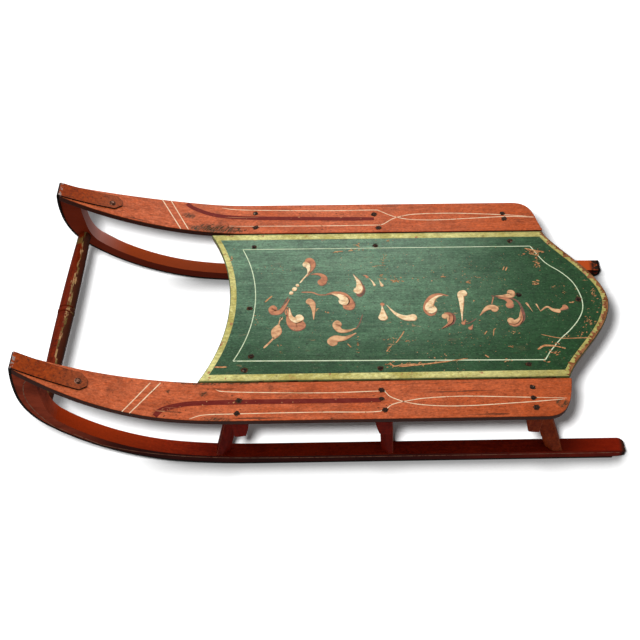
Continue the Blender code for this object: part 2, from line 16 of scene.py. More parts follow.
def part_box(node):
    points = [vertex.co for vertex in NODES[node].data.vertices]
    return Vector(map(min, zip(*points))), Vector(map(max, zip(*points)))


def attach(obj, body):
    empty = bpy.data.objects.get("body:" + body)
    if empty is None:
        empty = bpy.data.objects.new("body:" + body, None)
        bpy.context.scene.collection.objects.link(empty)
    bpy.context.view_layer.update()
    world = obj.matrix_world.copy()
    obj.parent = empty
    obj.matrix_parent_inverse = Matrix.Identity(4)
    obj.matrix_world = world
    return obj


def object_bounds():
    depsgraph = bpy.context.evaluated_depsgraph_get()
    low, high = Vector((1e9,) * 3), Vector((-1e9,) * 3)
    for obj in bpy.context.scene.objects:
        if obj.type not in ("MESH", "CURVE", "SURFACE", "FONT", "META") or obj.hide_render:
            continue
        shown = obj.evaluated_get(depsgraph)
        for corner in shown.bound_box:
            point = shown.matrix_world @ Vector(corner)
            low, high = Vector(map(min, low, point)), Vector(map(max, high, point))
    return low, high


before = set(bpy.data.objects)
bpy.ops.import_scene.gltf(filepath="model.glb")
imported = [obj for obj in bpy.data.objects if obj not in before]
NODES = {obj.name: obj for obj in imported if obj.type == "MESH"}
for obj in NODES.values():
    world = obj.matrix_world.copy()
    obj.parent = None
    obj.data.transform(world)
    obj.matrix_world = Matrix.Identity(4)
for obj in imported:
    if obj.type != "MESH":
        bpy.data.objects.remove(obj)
cad_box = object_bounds()

bl_info = {
    "name": "Painted coasting sled",
    "version": (1, 0, 0),
    "blender": (4, 5, 0),
    "location": "View3D > Sidebar > Sled",
    "description": "Paint, trim and nails for a child's wooden coasting sled, and its studio",
    "category": "Object",
}

BODY = "root"

# Where the frame says things are
SEAT_LOW, SEAT_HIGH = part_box("seat_board")
RAIL_LOW, RAIL_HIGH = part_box("left_rail")
RUNNER_LOW, RUNNER_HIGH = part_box("left_runner")
FRAME_LOW, FRAME_HIGH = cad_box
DECK = SEAT_HIGH.z
NOSE_X = FRAME_LOW.x
SEAT_HALF = SEAT_HIGH.y
RAIL_OUTER = -RAIL_LOW.y

# The rails' bend, as the frame has it
RAIL_BEND_X = NOSE_X + 0.277
RAIL_BEND_RADIUS = 0.477

# Paint lies this far over the wood, and is let into it this far
PAINT_PROUD = 0.00012
PAINT_SUNK = 0.00010

SIDES = (("left", -1), ("right", 1))
PLACES = ("front", "middle", "rear")


def colour_property(name, value, description):
    return FloatVectorProperty(name=name, description=description, default=value, size=3,
                               min=0.0, max=1.0, subtype="COLOR")


def length_property(name, value, description):
    return FloatProperty(name=name, description=description, default=value, min=0.0,
                         subtype="DISTANCE", unit="LENGTH")


class SledSizes(bpy.types.PropertyGroup):
    """Sizes of the painted lines and the small fasteners"""

    border: length_property("Border width", 0.0100, "Width of the painted border along the seat's sides")
    pinstripe: length_property("Pinstripe width", 0.0012, "Width of a cream pinstripe on the seat")
    rail_line: length_property("Rail line width", 0.0012, "Width of a cream line on a rail")
    band: length_property("Band width", 0.0072, "Width of the dark band along each rail")
    nail_head: length_property("Nail head", 0.0062, "Diameter of a forged nail head")
    rivet: length_property("Rivet", 0.0080, "Diameter of a strap's rivet")


class SledColours(bpy.types.PropertyGroup):
    """Colours of the paints, the bare wood and the iron, and of shade painted on the seat and the runners"""

    seat: colour_property("Seat green", (0.086, 0.182, 0.098), "Ground colour of the seat board")
    seat_dark: colour_property("Seat shade", (0.026, 0.080, 0.038), "Darker brushed green")
    # Painted shade: the darker green laid over the seat towards its tail and its near side
    seat_painted_shade: colour_property("Seat tail", (0.010, 0.044, 0.011), "Deeper green towards the tail")
    border: colour_property("Border", (0.60, 0.56, 0.22), "Border of the seat board")
    border_dark: colour_property("Border shade", (0.38, 0.33, 0.085), "Darker brushed border")
    rail: colour_property("Rail salmon", (0.49, 0.113, 0.041), "Ground colour of the rails")
    rail_dark: colour_property("Rail shade", (0.38, 0.068, 0.017), "Darker brushed salmon")
    rail_stain: colour_property("Rail stain", (0.17, 0.040, 0.014), "Stains and cracks of the rails")
    runner: colour_property("Runner red", (0.36, 0.024, 0.003), "Ground colour of the runners")
    runner_dark: colour_property("Runner shade", (0.19, 0.008, 0.001), "Darker brushed red")
    band: colour_property("Band", (0.130, 0.010, 0.006), "Dark band along the rails")
    line: colour_property("Pinstripe", (0.80, 0.62, 0.42), "Cream lines of the rails")
    seat_line: colour_property("Seat line", (0.66, 0.74, 0.52), "Cream line of the seat")
    cream: colour_property("Stroke", (0.86, 0.68, 0.42), "Light side of a brush stroke")
    shade: colour_property("Stroke shade", (0.52, 0.22, 0.11), "Shaded side of a brush stroke")
    flesh: colour_property("Flesh stroke", (0.68, 0.40, 0.21), "Peach paint of the thinner strokes")
    plum: colour_property("Stroke rim", (0.24, 0.085, 0.065), "Thin brown of a stroke's outer rim")
    wood: colour_property("Bare wood", (0.50, 0.24, 0.105), "Wood where paint has gone")
    # Real grime round the nails and flakes, and also painted shade on the runners' heel ends
    grime: colour_property("Grime", (0.022, 0.011, 0.006), "Old dirt on edges and round nails")
    iron: colour_property("Iron", (0.010, 0.007, 0.006), "Blackened iron of the shoes")
    steel: colour_property("Worn iron", (0.50, 0.44, 0.40), "Iron rubbed bright")


class SledStage(bpy.types.PropertyGroup):
    """The studio"""

    key: FloatProperty(name="Key light", description="Power of the soft lamp overhead",
                       default=38.0, min=0.0, unit="POWER")
    sheen: FloatProperty(name="Sheen", description="Power of the low lamp behind that shows the gloss",
                         default=11.5, min=0.0, unit="POWER")
    fill: FloatProperty(name="Fill", description="Strength of the even light all round",
                        default=0.28, min=0.0)
    shadow: FloatProperty(name="Shadow lamp", description="Power of the lamp that lights the floor alone",
                          default=52.0, min=0.0, unit="POWER")
    seed: IntProperty(name="Seed", description="Seed of the hand's unevenness", default=7, min=0)


# Materials

class Recipe:
    """Builds one material's nodes, with short calls for what the paints share."""

    def __init__(self, name):
        self.material = bpy.data.materials.new(name)
        self.material.use_nodes = True
        self.tree = self.material.node_tree
        self.tree.nodes.clear()
        self.output = self.add("ShaderNodeOutputMaterial")
        self.shader = self.add("ShaderNodeBsdfPrincipled")
        self.link(self.shader.outputs["BSDF"], self.output.inputs["Surface"])
        self.place = self.add("ShaderNodeTexCoord").outputs["Object"]

    def add(self, kind, **values):
        node = self.tree.nodes.new(kind)
        for key, value in values.items():
            setattr(node, key, value)
        return node

    def link(self, source, target):
        self.tree.links.new(source, target)

    def feed(self, socket, value):
        if isinstance(value, bpy.types.NodeSocket):
            self.link(value, socket)
        elif isinstance(value, (tuple, list)) and len(value) == 3 and socket.type == "RGBA":
            socket.default_value = (*value, 1.0)
        else:
            socket.default_value = value

    def maths(self, operation, first, second=0.0, clamp=False):
        node = self.add("ShaderNodeMath", operation=operation, use_clamp=clamp)
        self.feed(node.inputs[0], first)
        self.feed(node.inputs[1], second)
        return node.outputs[0]

    def step(self, value, low, high):
        """0 below low, 1 above high, and smooth between them."""
        node = self.add("ShaderNodeMapRange", interpolation_type="SMOOTHSTEP")
        self.feed(node.inputs["Value"], value)
        node.inputs["From Min"].default_value = low
        node.inputs["From Max"].default_value = high
        return node.outputs["Result"]

    def blend(self, share, first, second, kind="MIX"):
        node = self.add("ShaderNodeMix", data_type="RGBA", blend_type=kind)
        self.feed(node.inputs[0], share)
        self.feed(node.inputs[6], first)
        self.feed(node.inputs[7], second)
        return node.outputs[2]

    def stretched(self, scale, shift=(0.0, 0.0, 0.0), turn=0.0):
        node = self.add("ShaderNodeMapping")
        place = self.place
        if turn:
            turned = self.add("ShaderNodeMapping")
            turned.inputs["Rotation"].default_value = (0.0, 0.0, turn)
            self.link(place, turned.inputs["Vector"])
            place = turned.outputs["Vector"]
        self.link(place, node.inputs["Vector"])
        node.inputs["Location"].default_value = shift
        node.inputs["Scale"].default_value = scale
        return node.outputs["Vector"]

    def noise(self, scale, detail=4.0, rough=0.55, stretch=None, shift=(0.0, 0.0, 0.0), warp=0.0, turn=0.0):
        node = self.add("ShaderNodeTexNoise")
        self.link(self.stretched(stretch or (1.0, 1.0, 1.0), shift, turn), node.inputs["Vector"])
        node.inputs["Scale"].default_value = scale
        node.inputs["Detail"].default_value = detail
        node.inputs["Roughness"].default_value = rough
        node.inputs["Distortion"].default_value = warp
        return node.outputs["Fac"]

    def axis(self, letter):
        node = self.add("ShaderNodeSeparateXYZ")
        self.link(self.place, node.inputs[0])
        return node.outputs[letter]

    def facing_up(self):
        node = self.add("ShaderNodeSeparateXYZ")
        self.link(self.add("ShaderNodeNewGeometry").outputs["True Normal"], node.inputs[0])
        return node.outputs["Z"]

    def edges(self, radius, low, high):
        """1 on edges within radius, from how far a rounded normal turns from the real one."""
        bevel = self.add("ShaderNodeBevel", samples=6)
        bevel.inputs["Radius"].default_value = radius
        dot = self.add("ShaderNodeVectorMath", operation="DOT_PRODUCT")
        self.link(bevel.outputs["Normal"], dot.inputs[0])
        self.link(self.add("ShaderNodeNewGeometry").outputs["True Normal"], dot.inputs[1])
        return self.step(self.maths("SUBTRACT", 1.0, dot.outputs["Value"]), low, high)

    def patch(self, centre, reach, ragged=0.35, scale=60.0):
        """1 at a place on the sled, falling off to 0 at its reach with a ragged rim."""
        place = self.add("ShaderNodeVectorMath", operation="SUBTRACT")
        self.link(self.place, place.inputs[0])
        place.inputs[1].default_value = centre
        size = self.add("ShaderNodeVectorMath", operation="DIVIDE")
        self.link(place.outputs[0], size.inputs[0])
        size.inputs[1].default_value = reach
        length = self.add("ShaderNodeVectorMath", operation="LENGTH")
        self.link(size.outputs[0], length.inputs[0])
        rough = self.maths("MULTIPLY", self.maths("SUBTRACT", self.noise(scale, 5.0, 0.6), 0.5), ragged * 4.0)
        return self.step(self.maths("SUBTRACT", 1.0, self.maths("ADD", length.outputs["Value"], rough)), 0.0, 0.5)

    def mottle(self, colour, amount, scale, stretch=(1.0, 1.0, 1.0)):
        """The colour made lighter and darker in small spots."""
        spots = self.maths("SUBTRACT", self.noise(scale, 4.0, 0.75, stretch, (3.0, 8.0, 0.0)), 0.5)
        node = self.add("ShaderNodeVectorMath", operation="SCALE")
        self.link(colour, node.inputs[0])
        self.link(self.maths("ADD", self.maths("MULTIPLY", spots, amount), 1.0), node.inputs["Scale"])
        return node.outputs[0]

    def most(self, *values):
        out = values[0]
        for value in values[1:]:
            out = self.maths("MAXIMUM", out, value)
        return out

    def bump(self, height, strength, distance):
        node = self.add("ShaderNodeBump")
        node.inputs["Strength"].default_value = strength
        node.inputs["Distance"].default_value = distance
        self.link(height, node.inputs["Height"])
        self.link(node.outputs["Normal"], self.shader.inputs["Normal"])

    def finish(self, colour, roughness, metallic=0.0, specular=0.3):
        self.feed(self.shader.inputs["Base Color"], colour)
        self.shader.inputs["Specular IOR Level"].default_value = specular
        self.feed(self.shader.inputs["Roughness"], roughness)
        self.feed(self.shader.inputs["Metallic"], metallic)
        return self.material


def colours():
    return bpy.context.scene.sled_colours


def sizes():
    return bpy.context.scene.sled_sizes


def tone(name):
    return tuple(getattr(colours(), name))


def board_chips(recipe):
    """Where paint has flaked off the seat board: short dashes along the grain and small specks."""
    dashes = recipe.step(recipe.noise(62.0, 4.0, 0.6, (1.0, 3.0, 1.0), (3.1, 0.7, 0.0)), 0.690, 0.705)
    specks = recipe.step(recipe.noise(210.0, 2.0, 0.5, (1.0, 1.6, 1.0)), 0.700, 0.722)
    field = recipe.step(recipe.noise(8.0, 3.0, 0.6, (1.0, 1.4, 1.0), (1.3, 0.2, 0.0)), 0.45, 0.60)
    rear = recipe.step(recipe.axis("X"), -0.16, 0.34)
    field = recipe.maths("MULTIPLY", field, recipe.maths("ADD", rear, 0.40, clamp=True))
    return recipe.maths("MULTIPLY", recipe.most(dashes, specks), field)


def rail_chips(recipe):
    """Where paint has flaked off a rail: small dark dents and hairline cracks along the grain."""
    dents = recipe.step(recipe.noise(85.0, 4.0, 0.6, (1.0, 1.8, 1.0), (0.4, 1.9, 0.0)), 0.665, 0.69)
    dots = recipe.step(recipe.noise(260.0, 2.0, 0.5, (1.0, 1.0, 1.0), (2.2, 0.0, 0.0)), 0.70, 0.725)
    cracks = recipe.step(recipe.noise(16.0, 3.0, 0.5, (0.35, 14.0, 1.0), (0.0, 4.4, 0.0)), 0.672, 0.684)
    field = recipe.step(recipe.noise(9.0, 2.0, 0.5), 0.42, 0.60)
    return recipe.maths("MULTIPLY", recipe.most(dents, dots, cracks), field)


def brushed(recipe, light, dark, along=(0.30, 5.0, 5.0), contrast=0.5):
    """Oil paint laid on along the sled: brush streaks, blotches and a fine tooth."""
    streaks = recipe.noise(70.0, 6.0, 0.72, along)
    blotches = recipe.noise(11.0, 5.0, 0.68, (1.0, 1.4, 1.0), (0.0, 2.0, 0.0))
    tooth = recipe.noise(330.0, 3.0, 0.7, (0.7, 1.3, 1.0))
    share = recipe.maths("ADD", recipe.maths("MULTIPLY", streaks, 0.42), recipe.maths("MULTIPLY", blotches, 0.36))
    share = recipe.maths("ADD", share, recipe.maths("MULTIPLY", tooth, 0.22))
    half = 0.11 * (1.3 - contrast)
    return recipe.blend(recipe.step(share, 0.5 - half, 0.5 + half), light, dark), streaks, tooth


def seat_material():
    recipe = Recipe("seat_green")
    ground, streaks, tooth = brushed(recipe, tone("seat"), tone("seat_dark"))
    # Painted shade: the green is darkened towards the tail and towards the near side, where the light falls off
    tail = recipe.step(recipe.axis("X"), 0.04, 0.35)
    ground = recipe.blend(recipe.maths("MULTIPLY", tail, 0.90), ground, tone("seat_painted_shade"))
    near = recipe.step(recipe.axis("Y"), 0.0, -0.12)
    ground = recipe.blend(recipe.maths("MULTIPLY", near, 0.75), ground, tone("seat_painted_shade"))
    pits = recipe.step(recipe.noise(240.0, 3.0, 0.6, (1.0, 1.2, 1.0), (7.0, 0.0, 0.0)), 0.60, 0.68)
    ground = recipe.blend(recipe.maths("MULTIPLY", pits, 0.70), ground, (0.008, 0.026, 0.010))
    dust = recipe.step(recipe.noise(300.0, 3.0, 0.6, (1.0, 1.6, 1.0), (0.0, 9.0, 0.0)), 0.62, 0.72)
    ground = recipe.blend(recipe.maths("MULTIPLY", dust, 0.35), ground, (0.22, 0.33, 0.20))
    rust = recipe.step(recipe.noise(36.0, 5.0, 0.7, (1.0, 1.8, 1.0), (4.0, 4.0, 0.0)), 0.58, 0.74)
    ground = recipe.blend(recipe.maths("MULTIPLY", rust, 0.35), ground, (0.13, 0.085, 0.045))
    chips = board_chips(recipe)
    ground = recipe.mottle(recipe.mottle(ground, 2.4, 430.0, (0.7, 1.3, 1.0)), 1.3, 75.0)
    top = recipe.blend(chips, ground, tone("wood"))
    side_paint = recipe.blend(recipe.noise(30.0, 4.0, 0.6), tone("border_dark"), (0.20, 0.13, 0.04))
    rear = recipe.step(recipe.axis("X"), 0.27, 0.33)
    worn = recipe.maths("ADD", recipe.noise(60.0, 4.0, 0.6), recipe.maths("MULTIPLY", rear, 0.22))
    side = recipe.blend(recipe.step(worn, 0.50, 0.60), side_paint, (0.15, 0.048, 0.016))
    colour = recipe.blend(recipe.step(recipe.facing_up(), 0.90, 0.60), top, side)
    grain = recipe.noise(20.0, 5.0, 0.6, (2.0, 30.0, 1.0))
    colour = recipe.blend(recipe.step(recipe.facing_up(), -0.6, -0.9), colour,
                          recipe.blend(grain, (0.16, 0.075, 0.035), (0.30, 0.16, 0.08)))
    height = recipe.maths("SUBTRACT", recipe.maths("MULTIPLY", recipe.maths("ADD", streaks, tooth), 0.4), chips)
    recipe.bump(height, 0.5, 0.0005)
    return recipe.finish(colour, recipe.maths("ADD", recipe.maths("MULTIPLY", streaks, 0.20), 0.20), specular=0.30)


def border_material():
    recipe = Recipe("border_olive")
    ground, streaks, _ = brushed(recipe, tone("border"), tone("border_dark"), (1.0, 1.0, 1.0), 0.6)
    chips = board_chips(recipe)
    rear = recipe.step(recipe.axis("X"), 0.28, 0.35)
    front = recipe.step(recipe.axis("X"), -0.150, -0.175)
    wear = recipe.maths("ADD", recipe.maths("MULTIPLY", rear, 0.085), recipe.maths("MULTIPLY", front, 0.030))
    worn = recipe.maths("ADD", recipe.noise(80.0, 5.0, 0.65, (1.0, 1.0, 1.0), (5.0, 0.0, 0.0)), wear)
    chips = recipe.most(chips, recipe.step(worn, 0.630, 0.665))
    bare = recipe.blend(recipe.noise(150.0, 3.0), (0.26, 0.085, 0.035), (0.46, 0.22, 0.11))
    olive = recipe.step(recipe.axis("X"), 0.10, 0.34)
    ground = recipe.blend(recipe.maths("MULTIPLY", olive, 0.75), ground, (0.33, 0.28, 0.075))
    colour = recipe.blend(chips, ground, bare)
    edge = recipe.step(recipe.maths("ABSOLUTE", recipe.axis("Y")), 0.1265, 0.1298)
    dirt = recipe.step(recipe.noise(150.0, 4.0, 0.7, (0.5, 1.0, 1.0), (0.0, 7.0, 0.0)), 0.60, 0.70)
    dirt = recipe.maths("ADD", recipe.maths("MULTIPLY", dirt, 0.6), recipe.maths("MULTIPLY", edge, 0.35), clamp=True)
    colour = recipe.blend(dirt, colour, (0.12, 0.075, 0.022))
    colour = recipe.mottle(colour, 1.8, 260.0, (0.6, 1.2, 1.0))
    recipe.bump(recipe.maths("SUBTRACT", streaks, chips), 0.5, 0.0004)
    return recipe.finish(colour, 0.46, specular=0.2)


def rim_material():
    """The tail's edge, worn through to dark old wood."""
    recipe = Recipe("tail_rim_bare")
    patches = recipe.step(recipe.noise(90.0, 5.0, 0.65), 0.42, 0.62)
    colour = recipe.blend(patches, (0.16, 0.048, 0.014), (0.29, 0.12, 0.045))
    specks = recipe.step(recipe.noise(240.0, 3.0, 0.6), 0.58, 0.66)
    colour = recipe.blend(recipe.maths("MULTIPLY", specks, 0.8), colour, (0.045, 0.022, 0.010))
    recipe.bump(patches, 0.5, 0.0005)
    return recipe.finish(colour, 0.55, specular=0.2)


# The dark worn places of the rails: along, across, reach
WORN_PATCHES = (
    ((-0.193, 0.141), (0.044, 0.012)), ((-0.166, 0.140), (0.022, 0.008)), ((-0.229, 0.164), (0.010, 0.007)),
    ((-0.195, -0.1335), (0.046, 0.0045)), ((-0.185, -0.151), (0.008, 0.005)), ((-0.231, -0.150), (0.0035, 0.003)),
    ((-0.165, -0.189), (0.026, 0.0035)), ((-0.137, -0.134), (0.030, 0.0025)), ((0.283, -0.172), (0.012, 0.008)),
)


def rail_material():
    recipe = Recipe("rail_salmon")
    ground, streaks, tooth = brushed(recipe, tone("rail"), tone("rail_dark"), (0.45, 4.0, 4.0), 0.55)
    stain = recipe.step(recipe.noise(24.0, 6.0, 0.75, (1.6, 1.0, 1.0), (6.0, 1.0, 0.0)), 0.54, 0.74)
    ground = recipe.blend(recipe.maths("MULTIPLY", stain, 0.75), ground, tone("rail_stain"))
    tooth_dark = recipe.step(recipe.noise(200.0, 4.0, 0.7, (0.6, 1.6, 1.0)), 0.56, 0.70)
    ground = recipe.blend(recipe.maths("MULTIPLY", tooth_dark, 0.45), ground, tone("rail_stain"))
    # Painted shade: the salmon is deepened and darkened towards the rear, where less of the sheen falls
    rear = recipe.step(recipe.axis("X"), -0.02, 0.28)
    ground = recipe.blend(recipe.maths("MULTIPLY", rear, 0.45), ground, (0.34, 0.052, 0.004))
    chips = rail_chips(recipe)
    colour = recipe.blend(recipe.maths("MULTIPLY", chips, 0.9), ground, (0.075, 0.024, 0.010))
    edge = recipe.edges(0.0026, 0.03, 0.24)
    ragged = recipe.step(recipe.noise(70.0, 4.0, 0.65, (0.6, 1.0, 1.0)), 0.30, 0.52)
    colour = recipe.blend(recipe.maths("MULTIPLY", edge, ragged), colour, (0.040, 0.013, 0.006))
    worn = recipe.most(*[recipe.patch((x, y, DECK), (*reach, 0.04), 0.42, 90.0)
                         for (x, y), reach in WORN_PATCHES])
    lines = recipe.step(recipe.noise(150.0, 4.0, 0.7, (3.0, 0.5, 1.0), (0.0, 0.0, 0.0), 0.5, 0.75), 0.40, 0.60)
    worn = recipe.maths("MULTIPLY", worn, recipe.maths("ADD", recipe.maths("MULTIPLY", lines, 0.80), 0.18))
    colour = recipe.blend(worn, colour, (0.040, 0.028, 0.012))
    colour = recipe.mottle(recipe.mottle(colour, 1.9, 380.0, (0.6, 1.2, 1.0)), 1.2, 60.0, (0.6, 1.4, 1.0))
    # Painted shade: the rails' side faces are darkened, as the light from above misses them
    side = recipe.step(recipe.facing_up(), 0.85, 0.45)
    colour = recipe.blend(recipe.maths("MULTIPLY", side, 0.92), colour, (0.040, 0.006, 0.002))
    under = recipe.step(recipe.facing_up(), -0.5, -0.8)
    colour = recipe.blend(under, colour, (0.19, 0.05, 0.02))
    recipe.bump(recipe.maths("SUBTRACT", recipe.maths("ADD", streaks, tooth), chips), 0.5, 0.0004)
    return recipe.finish(colour, recipe.maths("ADD", recipe.maths("MULTIPLY", streaks, 0.25), 0.32), specular=0.20)


def red_material(name, light, dark, along=(0.4, 4.0, 4.0), edge_tone=(0.035, 0.006, 0.002)):
    recipe = Recipe(name)
    ground, streaks, tooth = brushed(recipe, light, dark, along, 0.4)
    spots = recipe.step(recipe.noise(150.0, 4.0, 0.65, (0.7, 1.0, 1.0)), 0.60, 0.70)
    ground = recipe.blend(recipe.maths("MULTIPLY", spots, 0.6), ground, edge_tone)
    edge = recipe.maths("MULTIPLY", recipe.edges(0.0022, 0.03, 0.3), recipe.step(recipe.noise(60.0, 4.0, 0.6), 0.36, 0.58))
    colour = recipe.blend(edge, ground, edge_tone)
    colour = recipe.mottle(colour, 1.4, 300.0)
    recipe.bump(recipe.maths("ADD", streaks, tooth), 0.4, 0.0004)
    return recipe, colour, streaks


def runner_material():
    recipe, colour, streaks = red_material("runner_red", tone("runner"), tone("runner_dark"))
    # Painted light: the red turns a brighter orange towards the nose, where light falls on the runner beyond the deck
    ahead = recipe.step(recipe.axis("X"), -0.20, -0.34)
    colour = recipe.blend(recipe.maths("MULTIPLY", ahead, 0.7), colour, (0.50, 0.050, 0.006))
    # Painted shadow: the red darkens towards the rear, under the deck and the rear knees
    behind = recipe.step(recipe.axis("X"), 0.22, 0.32)
    colour = recipe.blend(recipe.maths("MULTIPLY", behind, 0.75), colour, (0.16, 0.008, 0.001))
    # Painted shade: the runners' sides are darker than their tops, darkest towards the rear and paler at the nose, with
    # dark blotches
    side = recipe.step(recipe.maths("ABSOLUTE", recipe.facing_up()), 0.55, 0.25)
    nose = recipe.step(recipe.axis("X"), -0.30, -0.39)
    rear = recipe.step(recipe.axis("X"), 0.05, 0.30)
    side_tone = recipe.blend(rear, (0.014, 0.0004, 0.0003), (0.26, 0.013, 0.001))
    side_tone = recipe.blend(nose, side_tone, (0.50, 0.080, 0.032))
    blotch = recipe.maths("MULTIPLY", recipe.step(recipe.noise(30.0, 5.0, 0.65, (0.5, 1.0, 1.0)), 0.40, 0.64), 0.6)
    side_tone = recipe.blend(blotch, side_tone, (0.050, 0.003, 0.001))
    colour = recipe.blend(recipe.maths("MULTIPLY", side, 0.90), colour, side_tone)
    # Painted light: the far runner is made brighter than the near one, its sides still darker than its top
    far = recipe.step(recipe.axis("Y"), -0.05, 0.05)
    colour = recipe.blend(recipe.maths("MULTIPLY", far, 0.75), colour, recipe.blend(side, (0.52, 0.085, 0.016), (0.26, 0.024, 0.004)))
    # Painted shade: the runner's rounded heel end is darkened with the grime colour, as a shaded end face
    heel = recipe.step(recipe.maths("ADD", recipe.axis("X"), recipe.maths("MULTIPLY", recipe.axis("Y"), -0.05)), 0.392, 0.400)
    heel = recipe.maths("MULTIPLY", heel, recipe.step(recipe.noise(160.0, 3.0), 0.35, 0.5))
    colour = recipe.blend(heel, colour, tone("grime"))
    # Painted highlight: a pale pink patch on the inner face of the far runner's nose curve, where it catches the light
    face = recipe.add("ShaderNodeSeparateXYZ")
    recipe.link(recipe.add("ShaderNodeNewGeometry").outputs["True Normal"], face.inputs[0])
    inner = recipe.maths("MULTIPLY", recipe.step(face.outputs["X"], 0.20, 0.50), recipe.step(recipe.axis("Z"), 0.070, 0.125))
    inner = recipe.maths("MULTIPLY", inner, recipe.step(recipe.axis("X"), -0.30, -0.34))
    colour = recipe.blend(recipe.maths("MULTIPLY", recipe.maths("MULTIPLY", inner, far), 0.85), colour, (0.62, 0.30, 0.26))
    return recipe.finish(colour, recipe.maths("ADD", recipe.maths("MULTIPLY", streaks, 0.20), 0.48), specular=0.08)


def plain_red(name, light, dark, arris=None):
    """Red-brown paint, with an arris rubbed pale where one is given."""
    recipe, colour, streaks = red_material(name, light, dark, (3.0, 3.0, 0.5))
    if arris:
        rubbed = recipe.maths("MULTIPLY", recipe.edges(0.0016, 0.03, 0.14), recipe.step(recipe.noise(90.0, 4.0, 0.6), 0.34, 0.46))
        colour = recipe.blend(recipe.maths("MULTIPLY", rubbed, 0.8), colour, arris)
    return recipe.finish(colour, recipe.maths("ADD", recipe.maths("MULTIPLY", streaks, 0.20), 0.50), specular=0.08)


def rung_material():
    recipe, colour, streaks = red_material("rung_red", (0.17, 0.016, 0.002), (0.09, 0.007, 0.001), (4.0, 0.4, 4.0))
    normal = recipe.add("ShaderNodeSeparateXYZ")
    recipe.link(recipe.add("ShaderNodeNewGeometry").outputs["Normal"], normal.inputs[0])
    behind = recipe.maths("ADD", normal.outputs["X"], recipe.maths("MULTIPLY", normal.outputs["Z"], 0.35))
    ragged = recipe.maths("MULTIPLY", recipe.maths("SUBTRACT", recipe.noise(70.0, 5.0, 0.65, (1.0, 0.5, 1.0)), 0.5), 1.5)
    rubbed = recipe.maths("ADD", behind, ragged)
    pale = recipe.blend(recipe.step(recipe.noise(45.0, 4.0, 0.6), 0.42, 0.58), (0.36, 0.20, 0.085), (0.12, 0.075, 0.02))
    colour = recipe.blend(recipe.step(rubbed, 0.55, 0.64), colour, pale)
    far = recipe.step(recipe.maths("ABSOLUTE", recipe.maths("SUBTRACT", recipe.axis("Y"), 0.129)), 0.008, 0.004)
    colour = recipe.blend(recipe.maths("MULTIPLY", far, 0.7), colour, (0.17, 0.11, 0.028))
    dark = recipe.step(rubbed, 0.74, 0.84)
    colour = recipe.blend(dark, colour, recipe.blend(recipe.noise(80.0, 4.0, 0.6), (0.085, 0.012, 0.004), (0.030, 0.012, 0.005)))
    return recipe.finish(colour, 0.48, specular=0.10)


def shoe_material():
    """Black iron, painted over where the strap lies on the rail, and rubbed bright at the bend."""
    recipe = Recipe("shoe_iron_painted")
    patina = recipe.noise(60.0, 5.0, 0.65)
    iron = recipe.blend(recipe.step(patina, 0.4, 0.65), tone("iron"), (0.030, 0.014, 0.009))
    ground, streaks, _ = brushed(recipe, (0.28, 0.042, 0.004), (0.17, 0.020, 0.002), (0.8, 4.0, 4.0), 0.5)
    tab = recipe.step(recipe.axis("X"), -0.375, -0.335)
    ground = recipe.blend(recipe.maths("MULTIPLY", tab, 0.75), ground, (0.24, 0.055, 0.018))
    specks = recipe.step(recipe.noise(200.0, 4.0, 0.7), 0.52, 0.66)
    ground = recipe.blend(recipe.maths("MULTIPLY", specks, 0.7), ground, (0.07, 0.016, 0.007))
    ragged = recipe.maths("MULTIPLY", recipe.maths("SUBTRACT", patina, 0.5), 0.03)
    on_rail = recipe.step(recipe.maths("ADD", recipe.axis("Z"), ragged), 0.160, 0.166)
    up = recipe.step(recipe.facing_up(), 0.30, 0.55)
    painted = recipe.maths("MULTIPLY", on_rail, up)
    edge = recipe.edges(0.0020, 0.03, 0.25)
    colour = recipe.blend(painted, iron, recipe.mottle(ground, 1.8, 260.0))
    colour = recipe.blend(recipe.maths("MULTIPLY", edge, painted), colour, (0.030, 0.011, 0.006))
    back = recipe.maths("MULTIPLY", recipe.step(recipe.axis("Y"), -0.05, 0.05), 0.0065)
    place = recipe.maths("SUBTRACT", recipe.axis("X"), back)
    bend = recipe.maths("MULTIPLY", recipe.step(place, NOSE_X + 0.0125, NOSE_X + 0.0105), on_rail)
    bare = recipe.step(place, NOSE_X + 0.0095, NOSE_X + 0.0075)
    colour = recipe.blend(bare, colour, iron)
    dots = recipe.step(recipe.noise(210.0, 3.0, 0.6), 0.50, 0.56)
    rubbed = recipe.maths("MULTIPLY", recipe.maths("MULTIPLY", bend, recipe.maths("SUBTRACT", 1.0, bare)), dots)
    colour = recipe.blend(recipe.maths("MULTIPLY", rubbed, 0.85), colour, tone("steel"))
    metal = recipe.maths("SUBTRACT", recipe.most(recipe.maths("SUBTRACT", 1.0, painted), rubbed), 0.15, clamp=True)
    recipe.bump(recipe.maths("ADD", patina, recipe.maths("MULTIPLY", painted, 0.6)), 0.4, 0.0005)
    return recipe.finish(colour, recipe.maths("ADD", recipe.maths("MULTIPLY", patina, 0.3), 0.33), metal, 0.15)


def line_material(name, colour, thin, chips_of, under, wear=0.62):
    """A painted line or stroke, uneven and worn away with the paint beneath it."""
    recipe = Recipe(name)
    thinness = recipe.noise(130.0, 4.0, 0.65, (0.7, 1.4, 1.0), (2.0, 0.0, 0.0))
    paint = recipe.blend(recipe.step(thinness, 0.40, 0.66), colour, thin)
    worn = recipe.step(recipe.noise(230.0, 3.0, 0.6, (1.0, 1.0, 1.0), (9.0, 0.0, 0.0)), wear, wear + 0.05)
    paint = recipe.blend(recipe.maths("MULTIPLY", worn, 0.85), paint, under)
    paint = recipe.blend(chips_of(recipe), paint, tone("wood"))
    return recipe.finish(paint, 0.5, specular=0.15)


